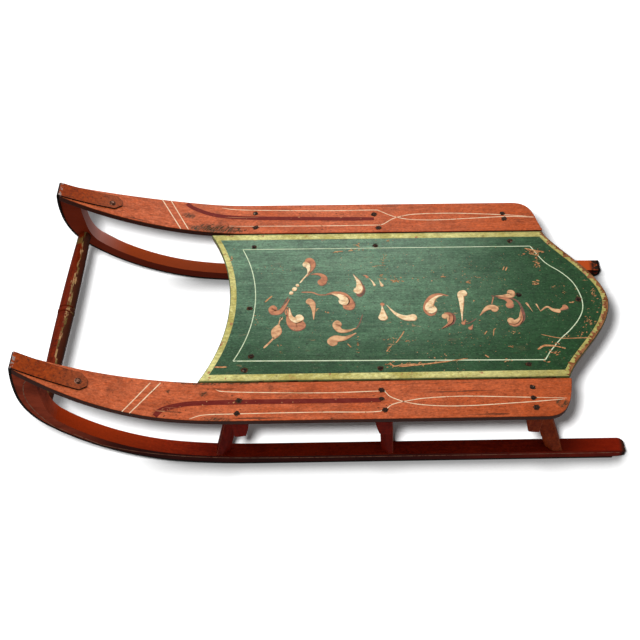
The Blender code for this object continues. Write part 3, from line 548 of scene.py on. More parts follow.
def nail_material():
    recipe = Recipe("nail_iron")
    rust = recipe.noise(420.0, 4.0, 0.6)
    colour = recipe.blend(recipe.step(rust, 0.45, 0.65), (0.010, 0.007, 0.006), (0.060, 0.022, 0.010))
    bright = recipe.step(recipe.noise(130.0, 2.0, 0.5, (1.0, 1.0, 1.0), (0.0, 3.0, 0.0)), 0.62, 0.68)
    colour = recipe.blend(bright, colour, (0.30, 0.22, 0.16))
    recipe.bump(rust, 0.4, 0.0003)
    return recipe.finish(colour, 0.55, 0.3, 0.3)


def grime_material():
    recipe = Recipe("nail_grime")
    spread = recipe.noise(330.0, 4.0, 0.65)
    colour = recipe.blend(recipe.step(spread, 0.42, 0.6), tone("grime"), (0.09, 0.036, 0.016))
    return recipe.finish(colour, 0.65, specular=0.15)


def flake_material(name, first, second):
    """What shows where a flake of paint is gone."""
    recipe = Recipe(name)
    spread = recipe.noise(230.0, 4.0, 0.65)
    colour = recipe.blend(recipe.step(spread, 0.40, 0.62), first, second)
    rim = recipe.step(recipe.noise(120.0, 3.0, 0.6, (1.0, 1.0, 1.0), (1.0, 5.0, 0.0)), 0.62, 0.70)
    colour = recipe.blend(recipe.maths("MULTIPLY", rim, 0.8), colour, tone("grime"))
    recipe.bump(spread, 0.4, 0.0003)
    return recipe.finish(colour, 0.6, specular=0.15)


def dress(node, material):
    """Give a frame node its finish."""
    slots = NODES[node].material_slots
    for slot in slots:
        slot.material = material
    if not slots:
        NODES[node].data.materials.append(material)


# Painted lines, by one node tree

def tree_socket(tree, name, kind, default=None, low=None):
    socket = tree.interface.new_socket(name, in_out="INPUT", socket_type=kind)
    if default is not None:
        socket.default_value = default
    if low is not None:
        socket.min_value = low
    return socket


def new_tree(name):
    tree = bpy.data.node_groups.new(name, "GeometryNodeTree")
    tree.interface.new_socket("Geometry", in_out="INPUT", socket_type="NodeSocketGeometry")
    tree.interface.new_socket("Geometry", in_out="OUTPUT", socket_type="NodeSocketGeometry")
    return tree


def brush_tree():
    """A flat line of paint along each curve, as wide as the curve's radius says, with the small
    unevenness of a hand."""
    tree = new_tree("brushed line")
    for name, kind, default in (("Drop", "NodeSocketFloat", -0.00022), ("Wobble", "NodeSocketFloat", 0.0003),
                                ("Unevenness", "NodeSocketFloat", 0.2), ("Seed", "NodeSocketInt", 0)):
        tree_socket(tree, name, kind, default)
    tree_socket(tree, "Material", "NodeSocketMaterial")
    nodes, links = tree.nodes, tree.links

    def put(kind, **values):
        node = nodes.new(kind)
        for key, value in values.items():
            setattr(node, key, value)
        return node

    start, end = put("NodeGroupInput"), put("NodeGroupOutput")
    noise = put("ShaderNodeTexNoise", noise_dimensions="4D")
    noise.inputs["Scale"].default_value = 55.0
    links.new(start.outputs["Seed"], noise.inputs["W"])
    centred = put("ShaderNodeVectorMath", operation="SUBTRACT")
    centred.inputs[1].default_value = (0.5, 0.5, 0.5)
    links.new(noise.outputs["Color"], centred.inputs[0])
    wobble = put("ShaderNodeVectorMath", operation="SCALE")
    links.new(centred.outputs[0], wobble.inputs[0])
    links.new(start.outputs["Wobble"], wobble.inputs["Scale"])
    flat = put("ShaderNodeVectorMath", operation="MULTIPLY")
    flat.inputs[1].default_value = (1.0, 1.0, 0.0)
    links.new(wobble.outputs[0], flat.inputs[0])
    moved = put("GeometryNodeSetPosition")
    links.new(start.outputs["Geometry"], moved.inputs["Geometry"])
    links.new(flat.outputs[0], moved.inputs["Offset"])
    width = put("ShaderNodeTexNoise", noise_dimensions="4D")
    width.inputs["Scale"].default_value = 90.0
    links.new(start.outputs["Seed"], width.inputs["W"])
    spread = put("ShaderNodeMath", operation="MULTIPLY_ADD")
    links.new(width.outputs["Fac"], spread.inputs[0])
    links.new(start.outputs["Unevenness"], spread.inputs[1])
    spread.inputs[2].default_value = 0.9
    radius = put("GeometryNodeInputRadius")
    scaled = put("ShaderNodeMath", operation="MULTIPLY")
    links.new(radius.outputs[0], scaled.inputs[0])
    links.new(spread.outputs[0], scaled.inputs[1])
    upright = put("GeometryNodeSetCurveNormal")
    upright.mode = "Z_UP"
    links.new(moved.outputs[0], upright.inputs["Curve"])
    across = put("GeometryNodeCurvePrimitiveLine")
    across.inputs["Start"].default_value = (-1.0, 0.0, 0.0)
    across.inputs["End"].default_value = (1.0, 0.0, 0.0)
    ribbon = put("GeometryNodeCurveToMesh")
    links.new(upright.outputs[0], ribbon.inputs["Curve"])
    links.new(across.outputs[0], ribbon.inputs["Profile Curve"])
    links.new(scaled.outputs[0], ribbon.inputs["Scale"])
    down = put("ShaderNodeCombineXYZ")
    links.new(start.outputs["Drop"], down.inputs["Z"])
    under = put("GeometryNodeExtrudeMesh")
    under.inputs["Individual"].default_value = False
    links.new(ribbon.outputs[0], under.inputs["Mesh"])
    links.new(down.outputs[0], under.inputs["Offset"])
    closed = put("GeometryNodeJoinGeometry")
    links.new(ribbon.outputs[0], closed.inputs[0])
    links.new(under.outputs["Mesh"], closed.inputs[0])
    real = put("GeometryNodeRealizeInstances")
    links.new(closed.outputs[0], real.inputs["Geometry"])
    coated = put("GeometryNodeSetMaterial")
    links.new(real.outputs[0], coated.inputs["Geometry"])
    links.new(start.outputs["Material"], coated.inputs["Material"])
    links.new(coated.outputs[0], end.inputs["Geometry"])
    return tree


def run_tree(tree, source, name, **inputs):
    """The tree's result on a source object, as a plain mesh object."""
    modifier = source.modifiers.new(tree.name, "NODES")
    modifier.node_group = tree
    for item in tree.interface.items_tree:
        if item.in_out == "INPUT" and item.name in inputs:
            modifier[item.identifier] = inputs[item.name]
    bpy.context.view_layer.update()
    graph = bpy.context.evaluated_depsgraph_get()
    mesh = bpy.data.meshes.new_from_object(source.evaluated_get(graph))
    bpy.data.objects.remove(source, do_unlink=True)
    piece = bpy.data.objects.new(name, mesh)
    bpy.context.scene.collection.objects.link(piece)
    mesh.name = name
    return piece


def outward(piece):
    """Merge doubles, and turn every face outwards."""
    shape = bmesh.new()
    shape.from_mesh(piece.data)
    bmesh.ops.remove_doubles(shape, verts=shape.verts, dist=0.000001)
    bmesh.ops.recalc_face_normals(shape, faces=shape.faces)
    for face in shape.faces:
        face.smooth = False
    shape.to_mesh(piece.data)
    shape.free()


def put_on(piece):
    outward(piece)
    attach(piece, BODY)
    return piece


def curves_object(paths):
    """One curve object with a spline for each path, a path being ((point, half width), ...)."""
    data = bpy.data.curves.new("painted lines", "CURVE")
    data.dimensions = "3D"
    for path in paths:
        spline = data.splines.new("POLY")
        spline.points.add(len(path) - 1)
        for target, (point, half_width) in zip(spline.points, path):
            target.co = (*point, 1.0)
            target.radius = half_width
    item = bpy.data.objects.new("painted lines", data)
    bpy.context.scene.collection.objects.link(item)
    return item


def smooth_path(points, per_span=8):
    """A curve through the points, as a chain of short steps."""
    points = [Vector(point) for point in points]
    padded = [2.0 * points[0] - points[1], *points, 2.0 * points[-1] - points[-2]]
    out = []
    for before, start, end, after in zip(padded, padded[1:], padded[2:], padded[3:]):
        for index in range(per_span):
            t = index / per_span
            out.append(0.5 * (2.0 * start + (end - before) * t
                              + (2.0 * before - 5.0 * start + 4.0 * end - after) * t ** 2
                              + (3.0 * start - before - 3.0 * end + after) * t ** 3))
    out.append(points[-1])
    return out


def rail_height(x):
    """Height of a rail's top face along the sled."""
    ahead = max(RAIL_BEND_X - x, 0.0)
    return DECK + RAIL_BEND_RADIUS - math.sqrt(RAIL_BEND_RADIUS ** 2 - ahead ** 2)


def laid(points, half_width, ends=1.0, lift=PAINT_PROUD):
    """A path flat on the deck, narrowing to a share of its width at both ends."""
    path = []
    last = len(points) - 1
    for index, point in enumerate(points):
        share = min(index, last - index) / max(last * 0.06, 1.0)
        width = half_width * (ends + (1.0 - ends) * min(share, 1.0))
        path.append(((point[0], point[1], DECK + lift), width))
    return path


def bent_up(piece):
    """Bend a flat painted piece up with the fronts of the rails."""
    for vertex in piece.data.vertices:
        vertex.co.z += rail_height(vertex.co.x) - DECK
    return piece


# Seat decoration. All places are (along, across) on the deck

PIN_FRONT_FAR = (-0.1470, 0.1010)
PIN_FRONT_NEAR = (-0.1500, -0.0980)
PIN_FRONT_MIDDLE = (-0.1245, 0.0100)
PIN_REAR_FAR = (0.2770, 0.1010)
PIN_REAR_NEAR = (0.2695, -0.1030)
PIN_TAIL_TURN = (0.2790, -0.0885)
PIN_TAIL = ((0.2935, 0.0700), (0.3145, 0.0500), (0.3290, 0.0300), (0.3360, 0.0040),
            (0.3345, -0.0180), (0.3250, -0.0370), (0.3110, -0.0540), (0.2955, -0.0690))

BORDER_HALF = 0.1197
BORDER_FRONT = (-0.1808, -0.1512)
TAIL_FROM = 0.296
TAIL_BORDER = 0.0078
RIM_WEAR = 0.0042


def arc_through(start, middle, end, steps=24):
    """Points of the circle through three places."""
    a, b, c = Vector(start), Vector(middle), Vector(end)
    d = 2.0 * (a.x * (b.y - c.y) + b.x * (c.y - a.y) + c.x * (a.y - b.y))
    ux = (a.length_squared * (b.y - c.y) + b.length_squared * (c.y - a.y) + c.length_squared * (a.y - b.y)) / d
    uy = (a.length_squared * (c.x - b.x) + b.length_squared * (a.x - c.x) + c.length_squared * (b.x - a.x)) / d
    centre = Vector((ux, uy))
    first = math.atan2(a.y - uy, a.x - ux)
    last = math.atan2(c.y - uy, c.x - ux)
    radius = (a - centre).length
    return [(ux + radius * math.cos(first + (last - first) * i / steps),
             uy + radius * math.sin(first + (last - first) * i / steps)) for i in range(steps + 1)]


def between(start, end, steps=30):
    return [tuple(Vector(start).lerp(Vector(end), index / steps)) for index in range(steps + 1)]


def seat_outline():
    """The seat board's outline in plan, counter-clockwise from the near front corner, read from
    the frame's own top face."""
    mesh = NODES["seat_board"].data
    top = {(round(v.co.x, 5), round(v.co.y, 5)) for v in mesh.vertices if v.co.z > DECK - 0.00001}
    return sorted(top, key=lambda p: math.atan2(p[1], p[0] - 0.09))


def inset(outline, distances):
    """An open run of corners moved to its left by a distance each."""
    out = []
    for index, point in enumerate(outline):
        before = Vector(outline[max(index - 1, 0)])
        after = Vector(outline[min(index + 1, len(outline) - 1)])
        along = (after - before).normalized()
        out.append(tuple(Vector(point) + Vector((-along.y, along.x)) * distances[index]))
    return out


def tail_outline():
    """The outline's run round the tail, from the near corner to the far one."""
    return sorted([point for point in seat_outline() if point[0] > TAIL_FROM], key=lambda p: p[1])


def slab(name, loops, low, high, material):
    """A closed flat piece between an outline and, where there is one, the loop inside it."""
    shape = bmesh.new()
    caps = []
    for z in (high, low):
        rings = [[shape.verts.new((x, y, z)) for x, y in loop] for loop in loops]
        edges = [shape.edges.new((ring[i - 1], ring[i])) for ring in rings for i in range(len(ring))]
        bmesh.ops.triangle_fill(shape, use_beauty=True, use_dissolve=False, edges=edges)
        caps.append(rings)
    for upper, lower in zip(*caps):
        for i in range(len(upper)):
            shape.faces.new((upper[i - 1], upper[i], lower[i], lower[i - 1]))
    mesh = bpy.data.meshes.new(name)
    shape.to_mesh(mesh)
    shape.free()
    piece = bpy.data.objects.new(name, mesh)
    bpy.context.scene.collection.objects.link(piece)
    mesh.materials.append(material)
    return piece


# Strokes of the seat, in millimetres: places from the head to the tail, the greatest width, and the
# paint: c for the cream side, f for flesh, s for the shaded side and p for the thin plum of a rim
STROKES = (
    ("s", 13.5, ((-56, 77), (-48, 75), (-45, 65), (-51, 52))),
    ("c", 9.5, ((-59, 70), (-53, 70), (-50, 62), (-52, 51))),
    ("s", 11.5, ((-37, 36), (-30, 38), (-28, 46), (-35, 52), (-47, 52))),
    ("s", 11.0, ((-94, -8), (-100, -11), (-98, -16), (-88, -14), (-76, 8))),
    ("s", 15.0, ((-56, -33), (-66, -42), (-76, -33), (-79.5, -7))),
    ("c", 11.5, ((-59, -22), (-66, -30.5), (-74, -25), (-76.5, -9))),
    ("f", 9.5, ((-53, 4), (-46, 0), (-43, -12), (-42.5, -29.5))),
    ("s", 17.0, ((3, -13), (6.5, -3), (0, 12), (-13, 17), (-27, 13.5))),
    ("c", 14.0, ((-3.5, -4), (0, 4), (-6, 11.5), (-17, 15.5))),
    ("p", 10.0, ((19, 11), (27, 20), (24, 36), (14, 52))),
    ("c", 11.5, ((15.5, 17.5), (22, 24), (21, 37), (14.5, 50))),
    ("c", 3.2, ((44.5, 29), (41.5, 36.5), (36, 44))),
    ("s", 4.0, ((35, 44), (32, 48), (28, 49))),
    ("c", 4.2, ((55.5, 28), (53.5, 33), (51, 40))),
    ("f", 11.0, ((-5, -35), (-11, -40), (-6, -49), (5, -50), (16, -45.5))),
    ("f", 13.0, ((-20, -74), (-13, -63.5), (1, -62), (16, -54))),
    ("c", 11.5, ((53.5, -33), (54, -20), (53.5, -7))),
    ("c", 10.5, ((101, -27.5), (86, -29), (72, -21.5), (60, -6))),
    ("s", 14.0, ((127, -23), (117, -13), (122, 5), (134, 12), (148, 9.5))),
    ("c", 13.5, ((129, -18), (120, -12), (124, 0), (132, 8), (140, 10))),
    ("p", 7.5, ((141, -23), (151, -26), (151, -39), (133, -50))),
    ("s", 9.0, ((139, -27), (147, -26), (147.5, -37), (134, -49))),
    ("f", 7.5, ((136, -27), (144, -28), (143.5, -38))),
    ("c", 10.0, ((175, 14), (166, 12), (165.5, -3), (163.5, -36.5))),
    ("s", 5.0, ((163.5, -42), (166, -38), (169, -33))),
    ("s", 5.0, ((171.5, -50), (175, -47), (178, -42))),
    ("f", 10.0, ((214, -19), (208, -12.5), (199, -15), (189, -26.5))),
    ("f", 10.0, ((235, 18), (237.5, 10), (228, 7.5), (215, 8))),
    ("s", 10.5, ((231, -14), (234, -4), (228, 2), (218, 4.5))),
    ("p", 6.0, ((241, -43), (250, -30), (248, -9), (239, 2), (218, 5.5))),
    ("s", 11.0, ((229, -36), (237, -41.5), (246, -33), (247.5, -17))),
    ("f", 9.0, ((228, -33), (235, -39), (243.5, -33), (246, -22))),
    ("f", 2.8, ((256.5, -5), (260, -12.5), (263.5, -20.5))),
    ("f", 1.8, ((270.5, -7.5), (272.5, -14), (275, -21))),
    ("f", 6.0, ((303, -21), (293, -18.5), (285, -13), (275, -20))),
    ("s", 8.0, ((313, -11), (308, -16), (300, -19.5))),
)
BUDS = (
    ("f", 12.5, ((-90.5, -37), (-92.5, -45), (-94.5, -53), (-97, -62.5))),
    ("c", 4.8, ((-64.5, 34), (-66, 32), (-67.5, 30))),
    ("c", 6.0, ((-67, 27.5), (-70, 25), (-73, 22.5))),
    ("c", 5.0, ((-72, 20), (-74.5, 18), (-77, 16))),
    ("c", 3.4, ((-86.5, -24), (-87.5, -27), (-88.5, -30))),
    ("s", 5.5, ((57, -4), (54, -4.5), (51, -4))),
)
STEMS = (
    ("c", 1.9, ((-51, 53), (-56.5, 45), (-62.5, 36))), ("s", 3.0, ((-49, 54), (-51.5, 51), (-54, 48))),
    ("p", 1.9, ((-78, 11), (-84, -1), (-88.5, -12))), ("s", 1.8, ((-60.5, 19), (-45, 18.5), (-35, 14), (-24, 13.5))),
    ("p", 1.4, ((16, -47), (21, -38), (26, -22))), ("p", 1.3, ((184, -32), (173.5, -39.5), (164, -41))),
    ("p", 1.8, ((209, 8), (220, 5.5), (231, 3))), ("s", 1.5, ((212, 6), (208, -7))),
    ("f", 2.4, ((-96, -60), (-102, -68), (-110, -77.5))), ("f", 1.7, ((-86.5, -24), (-89, -31), (-90.5, -38))),
    ("s", 1.5, ((-78, -8), (-82, -16), (-79, -24))), ("p", 1.6, ((-91, -13), (-84, -7), (-76, 8))),
)
STROKE_RIM = (0.5, -0.6)
RIM_PAINTS = {"c": "s", "f": "s", "s": "p"}
BRUSH = {"c": ("stroke_cream", 2.0), "f": ("stroke_flesh", 2.0), "s": ("stroke_shade", 1.5), "p": ("stroke_plum", 1.0)}


def millimetres(places):
    return [Vector((x, y)) * 0.001 for x, y in places]


def evenly(points, spacing):
    """The same path in even steps, with how far along it each point is."""
    out = [(points[0], 0.0)]
    run = 0.0
    for before, after in zip(points, points[1:]):
        run += (after - before).length
        if run - out[-1][1] >= spacing:
            out.append((after, run))
    return out, run


def comma(places, width, lift):
    """One stroke of a loaded round brush: pressed to a round head and drawn out to a point."""
    points, length = evenly(smooth_path(millimetres(places), 24), 0.0004)
    radius = width * 0.0005
    path = []
    for point, run in points:
        if run < radius:
            half = math.sqrt(max(radius ** 2 - (radius - run) ** 2, 0.0))
        else:
            half = radius * (0.05 + 0.95 * (1.0 - (run - radius) / (length - radius)) ** 1.25)
        path.append(((point.x, point.y, DECK + lift), max(half, 0.0002)))
    return path


def bud(places, width, lift):
    """A stroke pressed in its middle and pointed at both ends."""
    points, length = evenly(smooth_path(millimetres(places), 24), 0.0004)
    path = []
    for point, run in points:
        swell = math.sin(math.pi * min(run / length, 1.0)) ** (0.9 if length > 0.02 else 0.7)
        path.append(((point.x, point.y, DECK + lift), max(width * 0.0005 * swell, 0.0003)))
    return path


def nail_places():
    """Nails of the board and of the rails, as (along, across)."""
    board = [(-0.131, 0.106), (-0.132, -0.009), (-0.126, -0.091), (-0.134, -0.113), (0.048, 0.106),
             (0.047, -0.113), (0.248, 0.111), (0.246, -0.110), (0.248, 0.009), (0.331, 0.000)]
    rails = [(-0.1315, 0.174), (-0.130, 0.145), (0.048, 0.169), (0.054, 0.1415), (0.244, 0.168), (0.245, 0.157),
             (-0.139, -0.161), (-0.1405, -0.180), (0.0475, -0.1475), (0.047, -0.161), (0.051, -0.178),
             (0.246, -0.1465), (0.245, -0.163), (0.247, -0.1775)]
    return board, rails


def nail_tree():
    """A forged nail on each point, turned and sized unevenly."""
    tree = new_tree("forged nails")
    for name, kind, default in (("Head diameter", "NodeSocketFloat", 0.0066), ("Head height", "NodeSocketFloat", 0.0008),
                                ("Seed", "NodeSocketInt", 0)):
        tree_socket(tree, name, kind, default)
    tree_socket(tree, "Iron", "NodeSocketMaterial")
    nodes, links = tree.nodes, tree.links
    start, end = nodes.new("NodeGroupInput"), nodes.new("NodeGroupOutput")

    def share(part):
        node = nodes.new("ShaderNodeMath")
        node.operation = "MULTIPLY"
        node.inputs[1].default_value = part
        links.new(start.outputs["Head diameter"], node.inputs[0])
        return node.outputs[0]

    cone = nodes.new("GeometryNodeMeshCone")
    cone.inputs["Vertices"].default_value = 11
    cone.inputs["Side Segments"].default_value = 3
    links.new(share(0.5), cone.inputs["Radius Bottom"])
    links.new(share(0.27), cone.inputs["Radius Top"])
    links.new(start.outputs["Head height"], cone.inputs["Depth"])
    turn = nodes.new("FunctionNodeRandomValue")
    turn.data_type = "FLOAT_VECTOR"
    turn.inputs[0].default_value = (-0.10, -0.10, 0.0)
    turn.inputs[1].default_value = (0.10, 0.10, 6.28)
    links.new(start.outputs["Seed"], turn.inputs["Seed"])
    grow = nodes.new("FunctionNodeRandomValue")
    grow.data_type = "FLOAT"
    grow.inputs[2].default_value = 0.85
    grow.inputs[3].default_value = 1.2
    links.new(start.outputs["Seed"], grow.inputs["Seed"])
    spread = nodes.new("GeometryNodeInstanceOnPoints")
    links.new(start.outputs["Geometry"], spread.inputs["Points"])
    links.new(cone.outputs["Mesh"], spread.inputs["Instance"])
    links.new(turn.outputs[0], spread.inputs["Rotation"])
    links.new(grow.outputs[1], spread.inputs["Scale"])
    real = nodes.new("GeometryNodeRealizeInstances")
    links.new(spread.outputs[0], real.inputs[0])
    coated = nodes.new("GeometryNodeSetMaterial")
    links.new(real.outputs[0], coated.inputs["Geometry"])
    links.new(start.outputs["Iron"], coated.inputs["Material"])
    links.new(coated.outputs[0], end.inputs["Geometry"])
    return tree


def points_object(points):
    mesh = bpy.data.meshes.new("places")
    mesh.from_pydata(points, [], [])
    item = bpy.data.objects.new("places", mesh)
    bpy.context.scene.collection.objects.link(item)
    return item


def ragged_disc(centre, radii, turn, low, high, shape, draw, count=12):
    """A closed thin disc with an uneven rim, long one way and turned, into a shape."""
    rings = []
    rims = [draw.uniform(0.74, 1.16) for _ in range(count)]
    for z in (high, low):
        ring = []
        for i, rim in enumerate(rims):
            angle = 2.0 * math.pi * i / count
            u, v = radii[0] * rim * math.cos(angle), radii[1] * rim * math.sin(angle)
            ring.append(shape.verts.new((centre[0] + u * math.cos(turn) - v * math.sin(turn),
                                         centre[1] + u * math.sin(turn) + v * math.cos(turn), z)))
        rings.append(ring)
    shape.faces.new(rings[0])
    shape.faces.new(list(reversed(rings[1])))
    for i in range(count):
        shape.faces.new((rings[0][i - 1], rings[1][i - 1], rings[1][i], rings[0][i]))


def piece_of(shape, name, material):
    mesh = bpy.data.meshes.new(name)
    shape.to_mesh(mesh)
    shape.free()
    piece = bpy.data.objects.new(name, mesh)
    bpy.context.scene.collection.objects.link(piece)
    mesh.materials.append(material)
    return piece


# Flaked places, in millimetres: along, across, reach along, reach across, how many, flake length
SEAT_FLAKES = (
    (278, 91, 14, 6, 26, 3.2), (284, 84, 6, 6, 12, 2.6), (282, 66, 4, 13, 20, 2.2), (275, 30, 5, 5, 14, 3.4),
    (294, 89, 4, 3, 6, 2.2), (179, 34, 3, 3, 6, 3.0), (193, 42, 9, 2, 8, 1.4), (145, 44, 6, 1.5, 4, 3.0),
    (105, 41, 6, 2, 4, 2.0), (130, 53, 3, 3, 3, 1.6), (77, 38, 10, 5, 16, 2.8), (54, 47, 5, 7, 10, 2.0),
    (21, 107, 7, 4, 9, 2.4), (67, 114, 5, 4, 7, 2.2), (60, 72, 6, 24, 34, 1.4), (18, 98, 13, 2, 9, 1.8),
    (-8, 93, 8, 1.5, 5, 1.6), (-37, -13, 4, 3, 4, 1.9), (-24, -18, 6, 2, 6, 1.6), (18, -73, 2, 12, 16, 1.9),
    (68, -66, 13, 5, 14, 1.8), (60, -82, 4, 8, 9, 1.6), (90, -69, 8, 1.5, 6, 1.8), (88, -108, 16, 5, 20, 2.4),
    (60, -107, 5, 4, 9, 2.2), (303, -63, 9, 4, 5, 1.6), (290, -76, 7, 3, 7, 2.6), (284, -92, 10, 5, 24, 2.4),
    (227, -80, 6, 2.5, 6, 2.4), (219, -103, 5, 3, 6, 2.0), (270, -106, 6, 4, 10, 2.2), (316, 12, 10, 2, 6, 1.6),
    (301, 22, 12, 4, 9, 1.4), (340, -40, 8, 9, 30, 2.0), (356, 5, 5, 20, 26, 2.0), (330, -60, 10, 12, 16, 1.6),
    (235, -55, 6, 4, 8, 2.0), (-88, -73, 4, 3, 5, 1.5), (-86, -84, 3, 3, 4, 1.5), (-120, -30, 8, 10, 9, 1.5),
    (-100, 62, 22, 8, 16, 1.3), (16, 31, 22, 20, 16, 1.1), (-20, -20, 90, 70, 60, 0.8), (190, -60, 90, 50, 110, 0.9),
    (200, 60, 90, 40, 80, 0.9), (-160, 40, 4, 60, 26, 1.4), (-165, 82, 5, 10, 14, 2.2), (-73, -126, 6, 3, 8, 2.0),
    (-53, 125, 5, 4, 9, 1.8), (80, -123, 14, 3, 9, 1.6),
)
SCRATCHES = (
    (1.5, ((72, -111), (110, -107), (142, -103))), (0.8, ((142, -103), (166, -99))), (1.8, ((-174, -107.5), (-158, -107.5))),
    (1.5, ((-111, 2), (-101, 13))), (2.0, ((262, -86), (272, -80), (288, -81))), (1.3, ((288, -81), (300, -85))),
    (1.2, ((189, -94), (194, -98))), (1.0, ((231, 55), (234, 62))), (1.2, ((235, 54), (238, 61))),
    (1.1, ((-13, 94), (0, 95.5))), (1.0, ((8, 96), (15, 97))), (0.8, ((270, -61), (298, -68), (338, -67))),
    (1.0, ((70, -72), (78, -60), (82, -52))), (0.9, ((56, -86), (64, -76))), (1.0, ((4, -72), (9, -78))),
    (0.9, ((192, -60), (196, -54))), (1.3, ((268, 97), (284, 92), (296, 89))), (0.8, ((204, -62), (206, -52), (209, -50))),
    (1.2, ((60, -104), (66, -110), (78, -108), (96, -107))),
)
FAN_START, FAN_STEP, FAN_COUNT = -209.0, 3.1, 22


def fan_scratches(draw):
    """Scratches from the far rail's inner edge, leaning with the deck's corner and fanning out aft, in mm."""
    found = []
    for index in range(FAN_COUNT):
        share = index / FAN_COUNT
        x = FAN_START + FAN_STEP * index + draw.uniform(-1.5, 1.5)
        reach = draw.uniform(4.0, 17.0) * (1.0 - 0.65 * share)
        lean = reach * (0.9 - 0.8 * share)
        low = 135.0 + draw.uniform(0.0, 3.0)
        found.append((draw.uniform(0.5, 1.1), ((x, low), (x + lean * 0.35, low + reach * 0.55), (x + lean, low + reach))))
    return found


RAIL_FLAKES = (
    (-190, 142, 30, 9, 60, 1.6), (-160, 138, 16, 4, 20, 1.4), (-229, 163, 9, 4, 12, 1.6), (-190, -135, 40, 3, 34, 1.8),
    (-186, -151, 5, 4, 12, 1.8), (-231, -150, 2, 2, 5, 2.2), (-165, -188, 24, 2.5, 24, 1.8), (-247, -151, 8, 2, 5, 1.2),
    (-232, -172, 30, 10, 16, 1.0), (60, 164, 220, 22, 130, 1.0), (60, -164, 220, 22, 130, 1.0),
    (-300, 170, 50, 14, 30, 1.0), (-300, -172, 50, 14, 30, 1.0),
)


def flakes(name, clusters, material, seed, lift, grain=0.35):
    """Ragged flakes gathered at places, longer along the grain."""
    draw = random.Random(seed)
    shape = bmesh.new()
    for x, y, reach_x, reach_y, count, length in clusters:
        for _ in range(count):
            place = (x + draw.gauss(0.0, 0.5) * reach_x) * 0.001, (y + draw.gauss(0.0, 0.5) * reach_y) * 0.001
            half = length * 0.0005 * draw.uniform(0.35, 1.15)
            if not inside(place, half):
                continue
            ragged_disc(place, (half * draw.uniform(0.9, 1.9), half * draw.uniform(0.45, 0.8)),
                        draw.gauss(0.0, grain), DECK - PAINT_SUNK * 3.0, DECK + lift, shape, draw, 8)
    return piece_of(shape, name, material)


def inside(place, margin):
    """Whether a place is on the top of the board or of a rail, clear of its edges."""
    x, y = place[0], abs(place[1])
    if y < SEAT_HALF - 0.0012 - margin:
        hollow = -0.1593 - (y / 0.13) ** 2 * 0.0345
        tail = 0.298 if y > 0.118 else 0.3728 - y ** 2 * 5.9 + max(y - 0.055, 0.0) * 0.06
        return hollow + 0.001 + margin < x < tail - 0.0035 - margin
    return 0.1345 + margin < y < RAIL_OUTER - 0.002 - margin and -0.31 < x < 0.25


# Decoration of the rails, in millimetres: along, across
RAIL_BANDS = (
    ((-243.0, -188.4), (-234, -177.5), (-209, -168), (-183, -164.5), (-138, -162.7), (-33, -162.9), (46, -162.8)),
    ((-235.5, 187.2), (-222, 178.5), (-194, 169.3), (-147, 165), (-34, 161.5), (48, 160)),
)
RAIL_PAIRS = (
    ((-253.5, -139.5), (-282.5, -187.5)), ((-241, -138), (-273.5, -188.5)),
    ((-240, 135), (-272, 189)), ((-229, 135.5), (-259.5, 190)),
)
RAIL_LINES = (
    ((-200, -189), (-182, -182.5), (-142, -180.6), (-33, -179.8), (35, -180.6), (51, -176.6), (59, -170.6),
     (68, -167.2), (79, -164.9), (105, -160.8), (153, -158.8), (207, -160.6), (289, -164)),
    ((-170, -144), (-150, -147), (-33, -150.4), (44, -149), (52, -150.8), (59, -158.2), (78, -166.4),
     (104, -171.4), (152, -173.6), (232, -169.4), (286, -165.5)),
    ((-183, 184.8), (-154, 181.7), (-34, 178.2), (46, 178.5), (55, 177.2), (62, 173.5), (71, 168), (82, 163), (105, 157.7),
     (151, 156.5), (246, 161.5), (291, 159.2)),
    ((-170, 148), (-34, 146.8), (50, 147.2), (58, 147.6), (64, 150.4), (71, 156), (79, 161), (91, 165.2),
     (112, 168.8), (169, 169.8), (246, 165.2), (291, 160.2)),
)


# Operators

class SLED_OT_finishes(bpy.types.Operator):
    """Give every wooden and iron piece of the frame its worn finish"""

    bl_idname = "sled.finishes"
    bl_label = "Paint the pieces"

    def execute(self, context):
        dress("seat_board", seat_material())
        rail, runner, shoe = rail_material(), runner_material(), shoe_material()
        knee = plain_red("knee_red", (0.25, 0.010, 0.0015), (0.13, 0.004, 0.0008), (0.60, 0.20, 0.09))
        rear_knee = plain_red("rear_knee_red", (0.38, 0.055, 0.010), (0.20, 0.020, 0.003), (0.62, 0.25, 0.11))
        bench = plain_red("bench_red", (0.27, 0.009, 0.001), (0.14, 0.004, 0.0006))
        for side, _ in SIDES:
            dress(side + "_rail", rail)
            dress(side + "_runner", runner)
            dress(side + "_shoe", shoe)
            for place in PLACES:
                dress(f"{side}_{place}_knee", rear_knee if place == "rear" else knee)
        for place in PLACES:
            dress(place + "_bench", rear_knee if place == "rear" else bench)
        dress("front_rung", rung_material())
        return {"FINISHED"}


